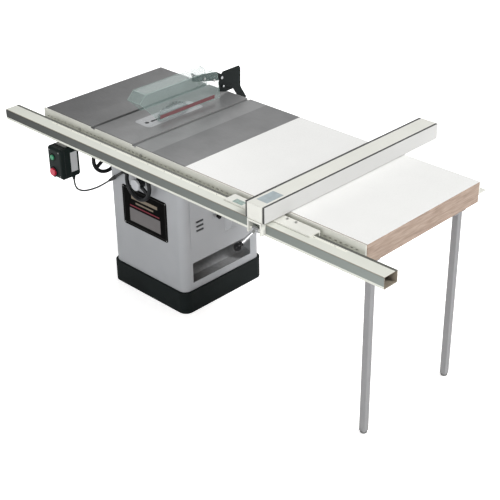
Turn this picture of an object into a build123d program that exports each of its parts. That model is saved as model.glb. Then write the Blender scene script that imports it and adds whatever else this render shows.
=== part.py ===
from build123d import *
import os
from math import asin, atan2, cos, degrees, hypot, radians, sin, sqrt

os.makedirs("parts", exist_ok=True)

# Cabinet table saw with a long T-square fence. Millimetres, +X to the right, +Y to the back, +Z up.
# Origin: centre of the base's underside on the floor. The saw blade stands in the plane X = 0.

# ---------------------------------------------------------------- fits
RUN = 0.05            # radial clearance of a shaft that turns in its bore
SLIP = 0.3            # gap beside pieces that slide or swing past each other
BOLT_GAP = 0.3        # radial clearance of a bolt in its hole

# ---------------------------------------------------------------- base and cabinet
BASE_X, BASE_Y, BASE_H = 510.0, 508.0, 108.0
BASE_WALL, BASE_PAN, BASE_TOP_T, BASE_CORNER = 5.0, 4.0, 5.0, 42.0
BASE_LEDGE = 30.0     # width of the ledge that the cabinet stands on
BASE_EDGE = 4.0
CAB_X, CAB_Y, CAB_CORNER = 490.0, 488.0, 36.0
SHEET = 2.0           # cabinet sheet steel

# ---------------------------------------------------------------- table
TABLE_TOP = 864.0
TABLE_DEPTH, TABLE_AHEAD = 686.0, 49.0  # the table's middle lies this far in front of the cabinet's
MAIN_LEFT, MAIN_W = -261.0, 508.0
WING_W = 203.0
PLATE_T, RIM_H, RIM_T = 16.0, 44.0, 12.0
WING_PLATE_T, WING_RIM_H = 12.0, 42.0
SEAT_RING_T = 8.0     # rib under the table that stands on the cabinet
SLOT_X, SLOT_W, SLOT_DEPTH = 136.0, 19.05, 9.5
TEE_W, TEE_H = 23.8, 3.2
NOTCH_W, NOTCH_SINK = 30.0, 0.5  # notch in each rail that lets a mitre gauge's bar run out
THROAT_W, THROAT_AHEAD, THROAT_BEHIND, THROAT_CORNER = 104.0, 185.0, 145.0, 20.0  # from the blade's centre
INSERT_T, THROAT_LEDGE = 5.0, 12.0
KERF_LEFT, KERF_RIGHT, KERF_AHEAD, KERF_BEHIND = -3.5, 10.0, 132.0, 134.0

# ---------------------------------------------------------------- rails and fence tube
RAIL_T, RAIL_LEG_H, RAIL_LEG_D = 6.0, 65.0, 80.0
RAIL_DROP = 3.0       # rail's upper edge below the table top
RAIL_LEFT, RAIL_RIGHT = -478.0, 1390.0
RAIL_SLOT_W, RAIL_SLOT_H, RAIL_SLOT_PITCH, RAIL_SLOT_DROP = 12.0, 4.0, 25.4, 35.0
REAR_LEG_D, REAR_LEG_H = 50.0, 56.0
TUBE_LEFT, TUBE_RIGHT = -608.0, 1566.0
TUBE_D, TUBE_H, TUBE_WALL, TUBE_CORNER = 76.2, 50.8, 3.2, 6.0
TUBE_GAP = 48.0       # table edge to the tube's back face
TUBE_DROP = 11.0      # tube's top below the table top
BOLT_R, BOLT_HEAD_R, BOLT_HEAD_T = 4.0, 7.5, 5.0
RAIL_BOLT_IN = (37.0, 64.0)  # from the main casting's left and right edges
TUBE_SCREW_X = (-440.0, -80.0, 280.0, 640.0, 1000.0, 1340.0)
WING_BOLT_Y = (-300.0, -50.0, 200.0)

# ---------------------------------------------------------------- extension table
EXT_W = 942.0
LAMINATE_T, BOARD_T, APRON_H, APRON_T = 1.5, 20.5, 67.0, 22.0
LEG_W, LEG_WALL, LEG_PLATE, LEG_PLATE_T = 28.0, 2.0, 70.0, 4.0
LEG_IN = (42.0, 116.0)  # from the table's front and back edges
FOOT_R, FOOT_H, FOOT_PLUG_H, FOOT_ROUND = 15.0, 12.0, 20.0, 4.0

# ---------------------------------------------------------------- blade, arbor, arm and motor
BLADE_R, BLADE_T, BLADE_TEETH, GULLET = 127.0, 2.4, 40, 7.0
BLADE_Y = -50.0
ARBOR_DEPTH = 77.0    # arbor axis below the table top, blade raised 50 mm
PIVOT_DEPTH = 110.0
ARM_L = 170.0
ARBOR_R, ARBOR_END_R, ARBOR_END_L = 9.95, 7.9, 22.0
FLANGE_R, FLANGE_T, WASHER_T, NUT_R, NUT_T = 28.0, 10.8, 3.5, 13.5, 12.0
BEARING_R, BEARING_T, HOUSING_R, HOUSING_L = 20.0, 12.0, 27.0, 36.0
HOUSING_RIGHT = -14.0
PULLEY_RIGHT, PULLEY_W = -54.0, 30.0
ARBOR_PULLEY_R, MOTOR_PULLEY_R = 30.0, 39.0
GROOVE_DEPTH, GROOVE_W, BELT_W, BELT_H, BELT_PITCH, BELT_PROUD = 5.3, 6.6, 6.0, 6.0, 10.0, 1.0
PIN_R, PIVOT_TUBE_R = 10.0, 16.0
ARM_LEFT, ARM_RIGHT = -101.0, 40.0
FACE_PLATE_T = 11.0
MOTOR_Y, MOTOR_Z = 20.0, 560.0
MOTOR_R, MOTOR_L, MOTOR_SHAFT_R, MOTOR_SHAFT_IN = 72.0, 128.0, 11.0, 40.0

# ---------------------------------------------------------------- trunnions and carriage
RIB_R0, RIB_R1, RIB_H, RIB_FIT = 140.0, 160.0, 9.7, 0.3
TRUN_R0, TRUN_R1, TRUN_T = 125.0, 235.0, 20.0
TRUN_A0, TRUN_A1 = -52.0, 26.0
BRACKET_R0, BRACKET_R1, BRACKET_T, BRACKET_A = 125.0, 175.0, 18.0, 72.0
TRUN_FRONT_IN, TRUN_BACK_IN = 40.0, 28.0  # from the cabinet's walls to the trunnions' outer faces
WEB_HALF, WEB_LAP = 12.0, 20.0
BEAM_W, BEAM_H, BEAM_DROP = 20.0, 25.0, 5.0
BEAM_LEFT_X, BEAM_RIGHT_X = -124.0, 44.0
LUG_R, LUG_RIGHT_W = 18.0, 16.0
TOOTH, TOOTH_DEPTH = 8.0, 3.5

# ---------------------------------------------------------------- handwheels and their shafts
SHAFT_R = 8.0
RAISE_X, RAISE_Z = 30.0, 612.0
TILT_Z = 602.0
WORM_R, WORM_GAP, WORM_L = 14.0, 0.5, 46.0
RAISE_WORM_R, RAISE_WORM_L = 11.0, 50.0
WHEEL_R, WHEEL_RIM_R, WHEEL_HUB_R, HUB_FRONT, HUB_BACK = 75.0, 9.0, 22.0, 10.0, 24.0
RAISE_WHEEL_OUT, TILT_WHEEL_OUT = 56.0, 73.0  # from the cabinet's wall
KNOB_FACE_R, KNOB_FACE_T = 27.0, 10.0
SPINNER_R, SPINNER_L, SPINNER_PIN_R, SPINNER_GAP = 11.0, 55.0, 5.0, 0.3
BOSS_R = 18.0

# ---------------------------------------------------------------- splitter and guard
SPLIT_T, ROD_R, ROD_DEPTH, ROD_PAST = 2.5, 8.0, 100.0, 2.0
GUARD_W, GUARD_T, GUARD_TOP = 82.0, 3.0, 149.0
GUARD_LOW, GUARD_LOW_LEFT = 8.0, 44.0
GUARD_PIVOT_BEHIND, GUARD_PIVOT_UP, GUARD_PIN_R = 300.0, 81.0, 4.0  # from blade centre and table top
PAWL_BEHIND, PAWL_UP, PAWL_PIN_R, PAWL_T = 312.0, 36.0, 3.0, 3.0

# ---------------------------------------------------------------- fence
FENCE_X = 980.0       # centre of the fence at rest
FENCE_AHEAD, FENCE_L = 20.8, 1045.0  # how far its front end is ahead of the tube
BEAM_X, BEAM_Z, BEAM_WALL, FACE_T = 76.0, 66.0, 3.0, 10.0
FENCE_LIFT = 3.0      # fence underside above the table
HEAD_L, HEAD_T, HEAD_D = 435.0, 6.0, 57.0
HEAD_BEHIND, HEAD_LEG_DROP = 17.0, 45.0  # behind and below the tube's upper back edge
HEAD_LIFT = 0.6       # head flange above the tube
CHEEK_W, CHEEK_T, CHEEK_DROP = 70.0, 6.0, 41.0
LEVER_AXIS_DROP, LEVER_AHEAD, LEVER_PIN_R = 25.0, 13.8, 5.0  # from the tube's upper front edge
CAM_R, CAM_OFF, CAM_W = 12.0, 1.7, 30.0
LEVER_ROD_R, LEVER_DROP, LEVER_L, KNOB_R = 6.5, 19.6, 92.0, 16.5
PAD_R, GLIDE_R, PAD_OFFSET = 8.0, 4.0, 180.0

# ---------------------------------------------------------------- switch and cord
BOX_LEFT, BOX_W, BOX_D, BOX_H = -340.0, 88.0, 105.0, 143.0
BOX_BEHIND, BOX_DROP = 16.2, 48.2  # behind the tube's front, below the rail
BOX_WALL, BOX_ROUND = 3.0, 6.0
START_UP, STOP_UP, START_R, STOP_R, PRESS = 98.0, 28.0, 12.0, 18.0, 4.0
CORD_D = 8.0

# ---------------------------------------------------------------- worked out from the above
TABLE_FRONT = -TABLE_AHEAD - TABLE_DEPTH / 2
TABLE_BACK = TABLE_FRONT + TABLE_DEPTH
MAIN_RIGHT = MAIN_LEFT + MAIN_W
RAIL_BOLT_X = (MAIN_LEFT + RAIL_BOLT_IN[0], MAIN_RIGHT - RAIL_BOLT_IN[1])
LEG_Y = (TABLE_FRONT + LEG_IN[0], TABLE_BACK - LEG_IN[1])
THROAT_FRONT, THROAT_BACK = BLADE_Y - THROAT_AHEAD, BLADE_Y + THROAT_BEHIND
KERF_FRONT, KERF_BACK = BLADE_Y - KERF_AHEAD, BLADE_Y + KERF_BEHIND
FRONT_TRUN_Y = TRUN_FRONT_IN - CAB_Y / 2  # front face of the front trunnion
REAR_TRUN_Y = CAB_Y / 2 - TRUN_BACK_IN    # back face of the rear trunnion
TILT_Y = FRONT_TRUN_Y + TRUN_T / 2
RAISE_WHEEL_Y, TILT_WHEEL_X = -CAB_Y / 2 - RAISE_WHEEL_OUT, -CAB_X / 2 - TILT_WHEEL_OUT
LEFT_EDGE = MAIN_LEFT - WING_W
RIGHT_EDGE = MAIN_RIGHT + WING_W
EXT_RIGHT = RIGHT_EDGE + EXT_W
UNDER = TABLE_TOP - PLATE_T
CAB_TOP = UNDER - RIM_H
RAIL_TOP = TABLE_TOP - RAIL_DROP
RAIL_FRONT = TABLE_FRONT - RAIL_T
TUBE_TOP = TABLE_TOP - TUBE_DROP
TUBE_LOW = TUBE_TOP - TUBE_H
TUBE_BACK = TABLE_FRONT - TUBE_GAP
TUBE_FRONT = TUBE_BACK - TUBE_D
BOARD_TOP = TABLE_TOP - LAMINATE_T
APRON_TOP = BOARD_TOP - BOARD_T
APRON_LOW = APRON_TOP - APRON_H
ARBOR_Z = TABLE_TOP - ARBOR_DEPTH
PIVOT_Z = TABLE_TOP - PIVOT_DEPTH
PIVOT_Y = BLADE_Y + sqrt(ARM_L**2 - (PIVOT_DEPTH - ARBOR_DEPTH) ** 2)
RAIL_SLOT_Z = TABLE_TOP - RAIL_SLOT_DROP
GEAR_R = TABLE_TOP - TILT_Z - WORM_R - WORM_GAP
ARM_GEAR_R = PIVOT_Z - RAISE_Z - RAISE_WORM_R - WORM_GAP
FENCE_FRONT = TUBE_FRONT - FENCE_AHEAD
FENCE_LOW = TABLE_TOP + FENCE_LIFT
FENCE_TOP = FENCE_LOW + BEAM_Z
HEAD_LOW = TUBE_TOP + HEAD_LIFT
HEAD_TOP = HEAD_LOW + HEAD_T
HEAD_BACK = TUBE_BACK + HEAD_BEHIND
HEAD_LEG_LOW = TUBE_TOP - HEAD_LEG_DROP
CHEEK_LOW = TUBE_TOP - CHEEK_DROP
LEVER_Y, LEVER_Z = TUBE_FRONT - LEVER_AHEAD, TUBE_TOP - LEVER_AXIS_DROP
GUARD_PIVOT_Y, GUARD_PIVOT_Z = BLADE_Y + GUARD_PIVOT_BEHIND, TABLE_TOP + GUARD_PIVOT_UP
PAWL_Y, PAWL_Z = BLADE_Y + PAWL_BEHIND, TABLE_TOP + PAWL_UP
BOX_FRONT = TUBE_FRONT + BOX_BEHIND
BOX_LOW = TUBE_LOW - RAIL_T - BOX_DROP - BOX_H
START_Z, STOP_Z = BOX_LOW + START_UP, BOX_LOW + STOP_UP
MOTOR_RIGHT = ARM_LEFT


# ---------------------------------------------------------------- shape helpers
def block(x0, x1, y0, y1, z0, z1):
    return Pos((x0 + x1) / 2, (y0 + y1) / 2, (z0 + z1) / 2) * Box(x1 - x0, y1 - y0, z1 - z0)


def rod_x(r, x0, x1, y, z):
    return Pos((x0 + x1) / 2, y, z) * Rot(0, 90, 0) * Cylinder(r, x1 - x0)


def rod_y(r, x, y0, y1, z):
    return Pos(x, (y0 + y1) / 2, z) * Rot(90, 0, 0) * Cylinder(r, y1 - y0)


def rod_z(r, x, y, z0, z1):
    return Pos(x, y, (z0 + z1) / 2) * Cylinder(r, z1 - z0)


def pillar(width, depth, corner, z0, z1, x=0.0, y=0.0):
    """Upright prism with a rounded rectangle for its plan."""
    return Pos(x, y, z0) * extrude(RectangleRounded(width, depth, corner), z1 - z0)


def plate_x(points, x0, x1):
    """Prism along X over a list of (y, z) corners."""
    wire = Wire.make_polygon([Vector(x0, y, z) for y, z in points], close=True)
    return Solid.extrude(Face(wire), Vector(x1 - x0, 0, 0))


def plate_y(points, y0, y1):
    """Prism along Y over a list of (x, z) corners."""
    wire = Wire.make_polygon([Vector(x, y0, z) for x, z in points], close=True)
    return Solid.extrude(Face(wire), Vector(0, y1 - y0, 0))


def arc_y(r0, r1, a0, a1, y0, y1, cx=0.0, cz=TABLE_TOP):
    """Arc-shaped bar about an axis along Y; angles from straight down, positive to +X."""
    def at(r, a):
        return Vector(cx + r * sin(radians(a)), y0, cz - r * cos(radians(a)))
    mid = (a0 + a1) / 2
    wire = Wire([
        ThreePointArc(at(r1, a0), at(r1, mid), at(r1, a1)).edge(),
        Line(at(r1, a1), at(r0, a1)).edge(),
        ThreePointArc(at(r0, a1), at(r0, mid), at(r0, a0)).edge(),
        Line(at(r0, a0), at(r1, a0)).edge(),
    ])
    return Solid.extrude(Face(wire), Vector(0, y1 - y0, 0))


def toothed(r0, r1, a0, a1):
    """Corner list (across, down) of a gear segment; the teeth are TOOTH apart on radius r1."""
    count = int(radians(a1 - a0) * r1 / TOOTH)
    step = (a1 - a0) / count
    points = [(r0 * sin(radians(a)), r0 * cos(radians(a))) for a in (a1, (a0 + a1) / 2, a0)]
    for i in range(count):
        for share, r in ((0.0, r1 - TOOTH_DEPTH), (0.3, r1), (0.7, r1)):
            a = radians(a0 + (i + share) * step)
            points.append((r * sin(a), r * cos(a)))
    last = radians(a1)
    points.append(((r1 - TOOTH_DEPTH) * sin(last), (r1 - TOOTH_DEPTH) * cos(last)))
    return points


def group(*shapes):
    return Compound(children=list(shapes))


def save(name, shape):
    export_step(shape, f"parts/{name}.step")


# ---------------------------------------------------------------- base and cabinet
def base_plinth():
    outer = pillar(BASE_X, BASE_Y, BASE_CORNER, 0, BASE_H)
    outer = fillet(outer.edges().group_by(Axis.Z)[-1], BASE_EDGE)
    inner = pillar(BASE_X - 2 * BASE_WALL, BASE_Y - 2 * BASE_WALL, BASE_CORNER - BASE_WALL,
                   BASE_PAN, BASE_H - BASE_TOP_T)
    mouth = pillar(CAB_X - 2 * BASE_LEDGE, CAB_Y - 2 * BASE_LEDGE, CAB_CORNER / 2,
                   BASE_H - BASE_TOP_T, BASE_H)
    return outer - inner - mouth


CLEAN_FRONT, CLEAN_BACK, CLEAN_LOW, CLEAN_TOP = -190.0, 178.0, 145.0, 245.0
DOOR_FRONT, DOOR_BACK, DOOR_LOW, DOOR_TOP = -198.0, 198.0, 322.0, 762.0
DOOR_LAP = 14.0       # how far the door covers the cabinet around its opening
HINGE_R, HINGE_PIN_R, HINGE_L = 5.0, 2.5, 40.0
HINGE_Z = (400.0, 680.0)
DOOR_GAP = 0.4
HINGE_X, HINGE_Y = CAB_X / 2 + DOOR_GAP + HINGE_R, DOOR_BACK + 1.0 + HINGE_R
PANEL_LEFT, PANEL_RIGHT, PANEL_LOW, PANEL_TOP, PANEL_T, PANEL_ROUND = -153.0, 147.0, 334.0, 535.0, 1.5, 12.0
CONDUIT_R, CONDUIT_OUT = 6.5, 14.0
CONDUIT_START, CONDUIT_END = (-200.0, 548.0), (-130.0, 600.0)


def cabinet_shell():
    shell = pillar(CAB_X, CAB_Y, CAB_CORNER, BASE_H, CAB_TOP)
    shell -= pillar(CAB_X - 2 * SHEET, CAB_Y - 2 * SHEET, CAB_CORNER - SHEET, BASE_H + SHEET, CAB_TOP)
    side = CAB_X / 2 - 2 * SHEET, CAB_X / 2 + 1
    shell -= block(*side, CLEAN_FRONT, CLEAN_BACK, CLEAN_LOW, CLEAN_TOP)
    door_y = DOOR_FRONT + DOOR_LAP, DOOR_BACK - DOOR_LAP
    shell -= block(*side, *door_y, DOOR_LOW + DOOR_LAP, DOOR_TOP - DOOR_LAP)
    # arc slot that the raising shaft travels along as the carriage tilts
    reach = hypot(RAISE_X, TABLE_TOP - RAISE_Z)
    start = degrees(atan2(RAISE_X, TABLE_TOP - RAISE_Z))
    shell -= arc_y(reach - SHAFT_R - 5, reach + SHAFT_R + 5, start - 5, start + 50,
                   -CAB_Y / 2 - 1, -CAB_Y / 2 + 2 * SHEET)
    shell -= rod_x(SHAFT_R + SLIP, -CAB_X / 2 - 1, -CAB_X / 2 + 2 * SHEET, TILT_Y, TILT_Z)
    # notch at the back for the splitter's rod at every tilt
    rod_x0, rod_x1 = -ROD_R - 6, ROD_DEPTH * sin(radians(45)) + ROD_R + 8
    shell -= block(rod_x0, rod_x1, CAB_Y / 2 - 2 * SHEET, CAB_Y / 2 + 1,
                   TABLE_TOP - ROD_DEPTH - ROD_R - 5, CAB_TOP)
    shell -= rod_y(CONDUIT_R + SLIP, CONDUIT_END[0], -CAB_Y / 2 - 1, -CAB_Y / 2 + 2 * SHEET, CONDUIT_END[1])
    # hinge lugs on the right side, each with the pin that the door turns on
    for z in HINGE_Z:
        lug = block(CAB_X / 2, HINGE_X + HINGE_R, HINGE_Y - HINGE_R, HINGE_Y + HINGE_R, z - 8, z)
        shell += lug + rod_z(HINGE_PIN_R, HINGE_X, HINGE_Y, z, z + HINGE_L - 4)
    return shell


def name_panel():
    width, height = PANEL_RIGHT - PANEL_LEFT, PANEL_TOP - PANEL_LOW
    sheet = extrude(RectangleRounded(width, height, PANEL_ROUND), PANEL_T)
    middle = Pos((PANEL_LEFT + PANEL_RIGHT) / 2, -CAB_Y / 2, (PANEL_LOW + PANEL_TOP) / 2)
    return middle * Rot(90, 0, 0) * sheet


CHUTE_T, CHUTE_UP, CHUTE_FOOT_X = 1.5, 222.0, 150.0


def dust_chute():
    t, low, high, foot = CHUTE_T, BASE_H + SHEET, BASE_H + CHUTE_UP, CHUTE_FOOT_X
    side = CAB_X / 2 - SHEET
    slope = plate_y([(-side, high), (foot, low), (side, low), (side, low + t), (foot + 0.5, low + t),
                     (-side, high + t)], -CAB_Y / 2, CAB_Y / 2)
    inner = pillar(2 * (side - SLIP), CAB_Y - 2 * (SHEET + SLIP), CAB_CORNER - SHEET, low, high + 10)
    return slope & inner


BULGE_FRONT, BULGE_BACK, BULGE_LOW, BULGE_TOP, BULGE_OUT, BULGE_SLOPE = 12.0, 190.0, 330.0, 752.0, 26.0, 22.0


def motor_cover():
    x0 = CAB_X / 2 + DOOR_GAP
    door = block(x0, x0 + SHEET, DOOR_FRONT, DOOR_BACK, DOOR_LOW, DOOR_TOP)
    def pan(inset, x_base, x_top):
        low = Plane(origin=(x_base, 0, 0), x_dir=(0, 1, 0), z_dir=(1, 0, 0))
        high = Plane(origin=(x_top, 0, 0), x_dir=(0, 1, 0), z_dir=(1, 0, 0))
        faces = []
        for plane, shrink in ((low, inset), (high, inset + BULGE_SLOPE)):
            width = BULGE_BACK - BULGE_FRONT - 2 * shrink
            height = BULGE_TOP - BULGE_LOW - 2 * shrink
            centre = (BULGE_FRONT + BULGE_BACK) / 2, (BULGE_LOW + BULGE_TOP) / 2
            faces.append(plane * Pos(*centre) * Rectangle(width, height))
        return loft(faces)
    door += pan(0, x0 + SHEET / 2, x0 + BULGE_OUT)
    door -= pan(SHEET, x0 - 0.1, x0 + BULGE_OUT - SHEET)
    for z in HINGE_Z:
        leaf = block(x0, x0 + SHEET, DOOR_BACK - 1, HINGE_Y, z + 1, z + HINGE_L)
        barrel = rod_z(HINGE_R, HINGE_X, HINGE_Y, z + 1, z + HINGE_L)
        door += leaf + barrel - rod_z(HINGE_PIN_R + RUN, HINGE_X, HINGE_Y, z, z + HINGE_L + 1)
    # three short louvres near the front edge, and the spring latch's tab
    for i in range(3):
        z = 396 + 22 * i
        door -= block(x0 - 1, x0 + SHEET + 1, -164, -120, z, z + 7)
    door += block(x0 + SHEET, x0 + SHEET + 7, -60, -14, 424, 440)
    return door


# ---------------------------------------------------------------- table castings
def table_main():
    low = CAB_TOP
    body = block(MAIN_LEFT, MAIN_RIGHT, TABLE_FRONT, TABLE_BACK, low, TABLE_TOP)
    body -= block(MAIN_LEFT + RIM_T, MAIN_RIGHT - RIM_T, TABLE_FRONT + RIM_T, TABLE_BACK - RIM_T, low, UNDER)
    ring = block(-CAB_X / 2, CAB_X / 2, -CAB_Y / 2, CAB_Y / 2, low, UNDER)
    ring -= block(-CAB_X / 2 + SEAT_RING_T, CAB_X / 2 - SEAT_RING_T, -CAB_Y / 2 + SEAT_RING_T,
                  CAB_Y / 2 - SEAT_RING_T, low, UNDER)
    body += ring
    centre = (THROAT_FRONT + THROAT_BACK) / 2
    body -= pillar(THROAT_W, THROAT_BACK - THROAT_FRONT, THROAT_CORNER, UNDER, TABLE_TOP, 0, centre)
    seat = TABLE_TOP - INSERT_T
    half = THROAT_W / 2 - THROAT_CORNER
    front_ledge = THROAT_FRONT - 1, THROAT_FRONT + THROAT_LEDGE
    back_ledge = THROAT_BACK - THROAT_LEDGE, THROAT_BACK + 1
    for y0, y1 in (front_ledge, back_ledge):
        body += block(-half, half, y0, y1, UNDER, seat)
    for x in (-SLOT_X, SLOT_X):
        body -= block(x - SLOT_W / 2, x + SLOT_W / 2, TABLE_FRONT - 1, TABLE_BACK + 1,
                      TABLE_TOP - SLOT_DEPTH, TABLE_TOP)
        body -= block(x - TEE_W / 2, x + TEE_W / 2, TABLE_FRONT - 1, TABLE_BACK + 1,
                      TABLE_TOP - SLOT_DEPTH, TABLE_TOP - SLOT_DEPTH + TEE_H)
    for x in RAIL_BOLT_X:
        body -= rod_y(BOLT_R + BOLT_GAP, x, TABLE_FRONT - 1, TABLE_FRONT + RIM_T + 1, RAIL_SLOT_Z)
    for y in WING_BOLT_Y:
        body -= rod_x(BOLT_R + BOLT_GAP, MAIN_LEFT - 1, nut_seat_left(y) + 1, y, RAIL_SLOT_Z)
        body -= rod_x(BOLT_R + BOLT_GAP, MAIN_RIGHT - RIM_T - 1, MAIN_RIGHT + 1, y, RAIL_SLOT_Z)
    return body


def nut_seat_left(y):
    """Face that a left wing bolt's nut bears on: beside the cabinet it lies past the seat ring."""
    return -CAB_X / 2 + SEAT_RING_T if abs(y) < CAB_Y / 2 else MAIN_LEFT + RIM_T


def table_wing(left):
    right, low = left + WING_W, TABLE_TOP - WING_PLATE_T - WING_RIM_H
    under = TABLE_TOP - WING_PLATE_T
    body = block(left, right, TABLE_FRONT, TABLE_BACK, low, TABLE_TOP)
    body -= block(left + RIM_T, right - RIM_T, TABLE_FRONT + RIM_T, TABLE_BACK - RIM_T, low, under)
    for share in (1 / 3, 2 / 3):
        y = TABLE_FRONT + TABLE_DEPTH * share
        body += block(left + RIM_T, right - RIM_T, y - RIM_T / 2, y + RIM_T / 2, low + 12, under)
    joint = right if left < MAIN_LEFT else left
    for y in WING_BOLT_Y:
        body -= rod_x(BOLT_R + BOLT_GAP, joint - RIM_T - 1, joint + RIM_T + 1, y, RAIL_SLOT_Z)
    return body


def throat_plate():
    centre = (THROAT_FRONT + THROAT_BACK) / 2
    width, length = THROAT_W - 2 * SLIP, THROAT_BACK - THROAT_FRONT - 2 * SLIP
    plate = pillar(width, length, THROAT_CORNER - SLIP, TABLE_TOP - INSERT_T, TABLE_TOP, 0, centre)
    plate -= block(KERF_LEFT, KERF_RIGHT, KERF_FRONT, KERF_BACK, TABLE_TOP - INSERT_T - 1, TABLE_TOP + 1)
    return plate - rod_z(10, 0, THROAT_FRONT + 32, TABLE_TOP - INSERT_T - 1, TABLE_TOP + 1)


# ---------------------------------------------------------------- rails and bolts
def front_rail_angle():
    upright = block(RAIL_LEFT, RAIL_RIGHT, RAIL_FRONT, TABLE_FRONT, RAIL_TOP - RAIL_LEG_H, RAIL_TOP)
    shelf = block(RAIL_LEFT, RAIL_RIGHT, TABLE_FRONT - RAIL_LEG_D, TABLE_FRONT, TUBE_LOW - RAIL_T, TUBE_LOW)
    rail = upright + shelf
    for x in RAIL_BOLT_X:
        rail -= rod_y(BOLT_R + BOLT_GAP, x, RAIL_FRONT - 1, TABLE_FRONT + 1, RAIL_SLOT_Z)
    for x in TUBE_SCREW_X:
        rail -= rod_z(BOLT_R + BOLT_GAP, x, tube_screw_y(), TUBE_LOW - RAIL_T - 1, TUBE_LOW + 1)
    count = int((RAIL_RIGHT - RAIL_LEFT - RAIL_SLOT_PITCH) / RAIL_SLOT_PITCH)
    cuts = []
    for i in range(count):
        x = RAIL_LEFT + RAIL_SLOT_PITCH * (i + 1)
        if min(abs(x - bolt) for bolt in RAIL_BOLT_X) > RAIL_SLOT_W / 2 + BOLT_HEAD_R + 2:
            cuts.append(block(x - RAIL_SLOT_W / 2, x + RAIL_SLOT_W / 2, RAIL_FRONT - 1, TABLE_FRONT + 1,
                              RAIL_SLOT_Z - RAIL_SLOT_H / 2, RAIL_SLOT_Z + RAIL_SLOT_H / 2))
    return rail - cuts - slot_notches(RAIL_FRONT, TABLE_FRONT)


def slot_notches(y0, y1):
    low = TABLE_TOP - SLOT_DEPTH - NOTCH_SINK
    half = NOTCH_W / 2
    return [block(x - half, x + half, y0 - 1, y1 + 1, low, TABLE_TOP) for x in (-SLOT_X, SLOT_X)]


def tube_screw_y():
    """Depth at which the tube is screwed down: middle of its bearing on the rail's shelf."""
    return (TABLE_FRONT - RAIL_LEG_D + TUBE_BACK) / 2


def guide_tube():
    outer = RectangleRounded(TUBE_D, TUBE_H, TUBE_CORNER)
    inner = RectangleRounded(TUBE_D - 2 * TUBE_WALL, TUBE_H - 2 * TUBE_WALL, TUBE_CORNER - TUBE_WALL)
    plane = Plane(origin=(TUBE_LEFT, (TUBE_FRONT + TUBE_BACK) / 2, (TUBE_TOP + TUBE_LOW) / 2),
                  x_dir=(0, 1, 0), z_dir=(1, 0, 0))
    tube = extrude(plane * (outer - inner), TUBE_RIGHT - TUBE_LEFT)
    for x in TUBE_SCREW_X:
        tube -= rod_z(BOLT_R + BOLT_GAP, x, tube_screw_y(), TUBE_LOW - 1, TUBE_LOW + TUBE_WALL + 1)
    return tube


def rear_rail_angle():
    upright = block(LEFT_EDGE, EXT_RIGHT, TABLE_BACK, TABLE_BACK + RAIL_T, RAIL_TOP - REAR_LEG_H, RAIL_TOP)
    shelf = block(LEFT_EDGE, EXT_RIGHT, TABLE_BACK, TABLE_BACK + REAR_LEG_D,
                  RAIL_TOP - REAR_LEG_H, RAIL_TOP - REAR_LEG_H + RAIL_T)
    return upright + shelf - slot_notches(TABLE_BACK, TABLE_BACK + RAIL_T)


def table_bolts():
    bolts = []
    for x in RAIL_BOLT_X:
        head = rod_y(BOLT_HEAD_R, x, RAIL_FRONT - BOLT_HEAD_T, RAIL_FRONT, RAIL_SLOT_Z)
        nut = rod_y(BOLT_HEAD_R, x, TABLE_FRONT + RIM_T, TABLE_FRONT + RIM_T + BOLT_HEAD_T, RAIL_SLOT_Z)
        bolts.append(head + nut + rod_y(BOLT_R, x, RAIL_FRONT, TABLE_FRONT + RIM_T, RAIL_SLOT_Z))
    for x in TUBE_SCREW_X:
        shelf = TUBE_LOW - RAIL_T
        head = rod_z(BOLT_HEAD_R, x, tube_screw_y(), shelf - BOLT_HEAD_T, shelf)
        nut = rod_z(BOLT_HEAD_R, x, tube_screw_y(), TUBE_LOW + TUBE_WALL, TUBE_LOW + TUBE_WALL + BOLT_HEAD_T)
        bolts.append(head + nut + rod_z(BOLT_R, x, tube_screw_y(), shelf, TUBE_LOW + TUBE_WALL))
    for y in WING_BOLT_Y:
        for x0, x1 in ((MAIN_LEFT - RIM_T, nut_seat_left(y)), (MAIN_RIGHT - RIM_T, MAIN_RIGHT + RIM_T)):
            heads = [rod_x(BOLT_HEAD_R, x0 - BOLT_HEAD_T, x0, y, RAIL_SLOT_Z),
                     rod_x(BOLT_HEAD_R, x1, x1 + BOLT_HEAD_T, y, RAIL_SLOT_Z)]
            bolts.append(rod_x(BOLT_R, x0, x1, y, RAIL_SLOT_Z) + heads)
    return group(*bolts)


# ---------------------------------------------------------------- extension table
def extension_laminate():
    return block(RIGHT_EDGE, EXT_RIGHT, TABLE_FRONT, TABLE_BACK, BOARD_TOP, TABLE_TOP)


def extension_frame():
    """Top board on its glued-up aprons, each board a solid of its own."""
    inner_right = EXT_RIGHT - APRON_T
    board = block(RIGHT_EDGE, inner_right, TABLE_FRONT, TABLE_BACK, APRON_TOP, BOARD_TOP)
    front = block(RIGHT_EDGE, inner_right, TABLE_FRONT, TABLE_FRONT + APRON_T, APRON_LOW, APRON_TOP)
    back = block(RIGHT_EDGE, inner_right, TABLE_BACK - APRON_T, TABLE_BACK, APRON_LOW, APRON_TOP)
    end = block(inner_right, EXT_RIGHT, TABLE_FRONT, TABLE_BACK, APRON_LOW, BOARD_TOP)
    y0, y1 = TABLE_FRONT + APRON_T, TABLE_BACK - APRON_T
    near = block(RIGHT_EDGE, RIGHT_EDGE + APRON_T, y0, y1, APRON_LOW, APRON_TOP)
    middle_x = RIGHT_EDGE + EXT_W / 2
    middle = block(middle_x - APRON_T / 2, middle_x + APRON_T / 2, y0, y1, APRON_LOW, APRON_TOP)
    return group(board, front, back, end, near, middle)


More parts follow.
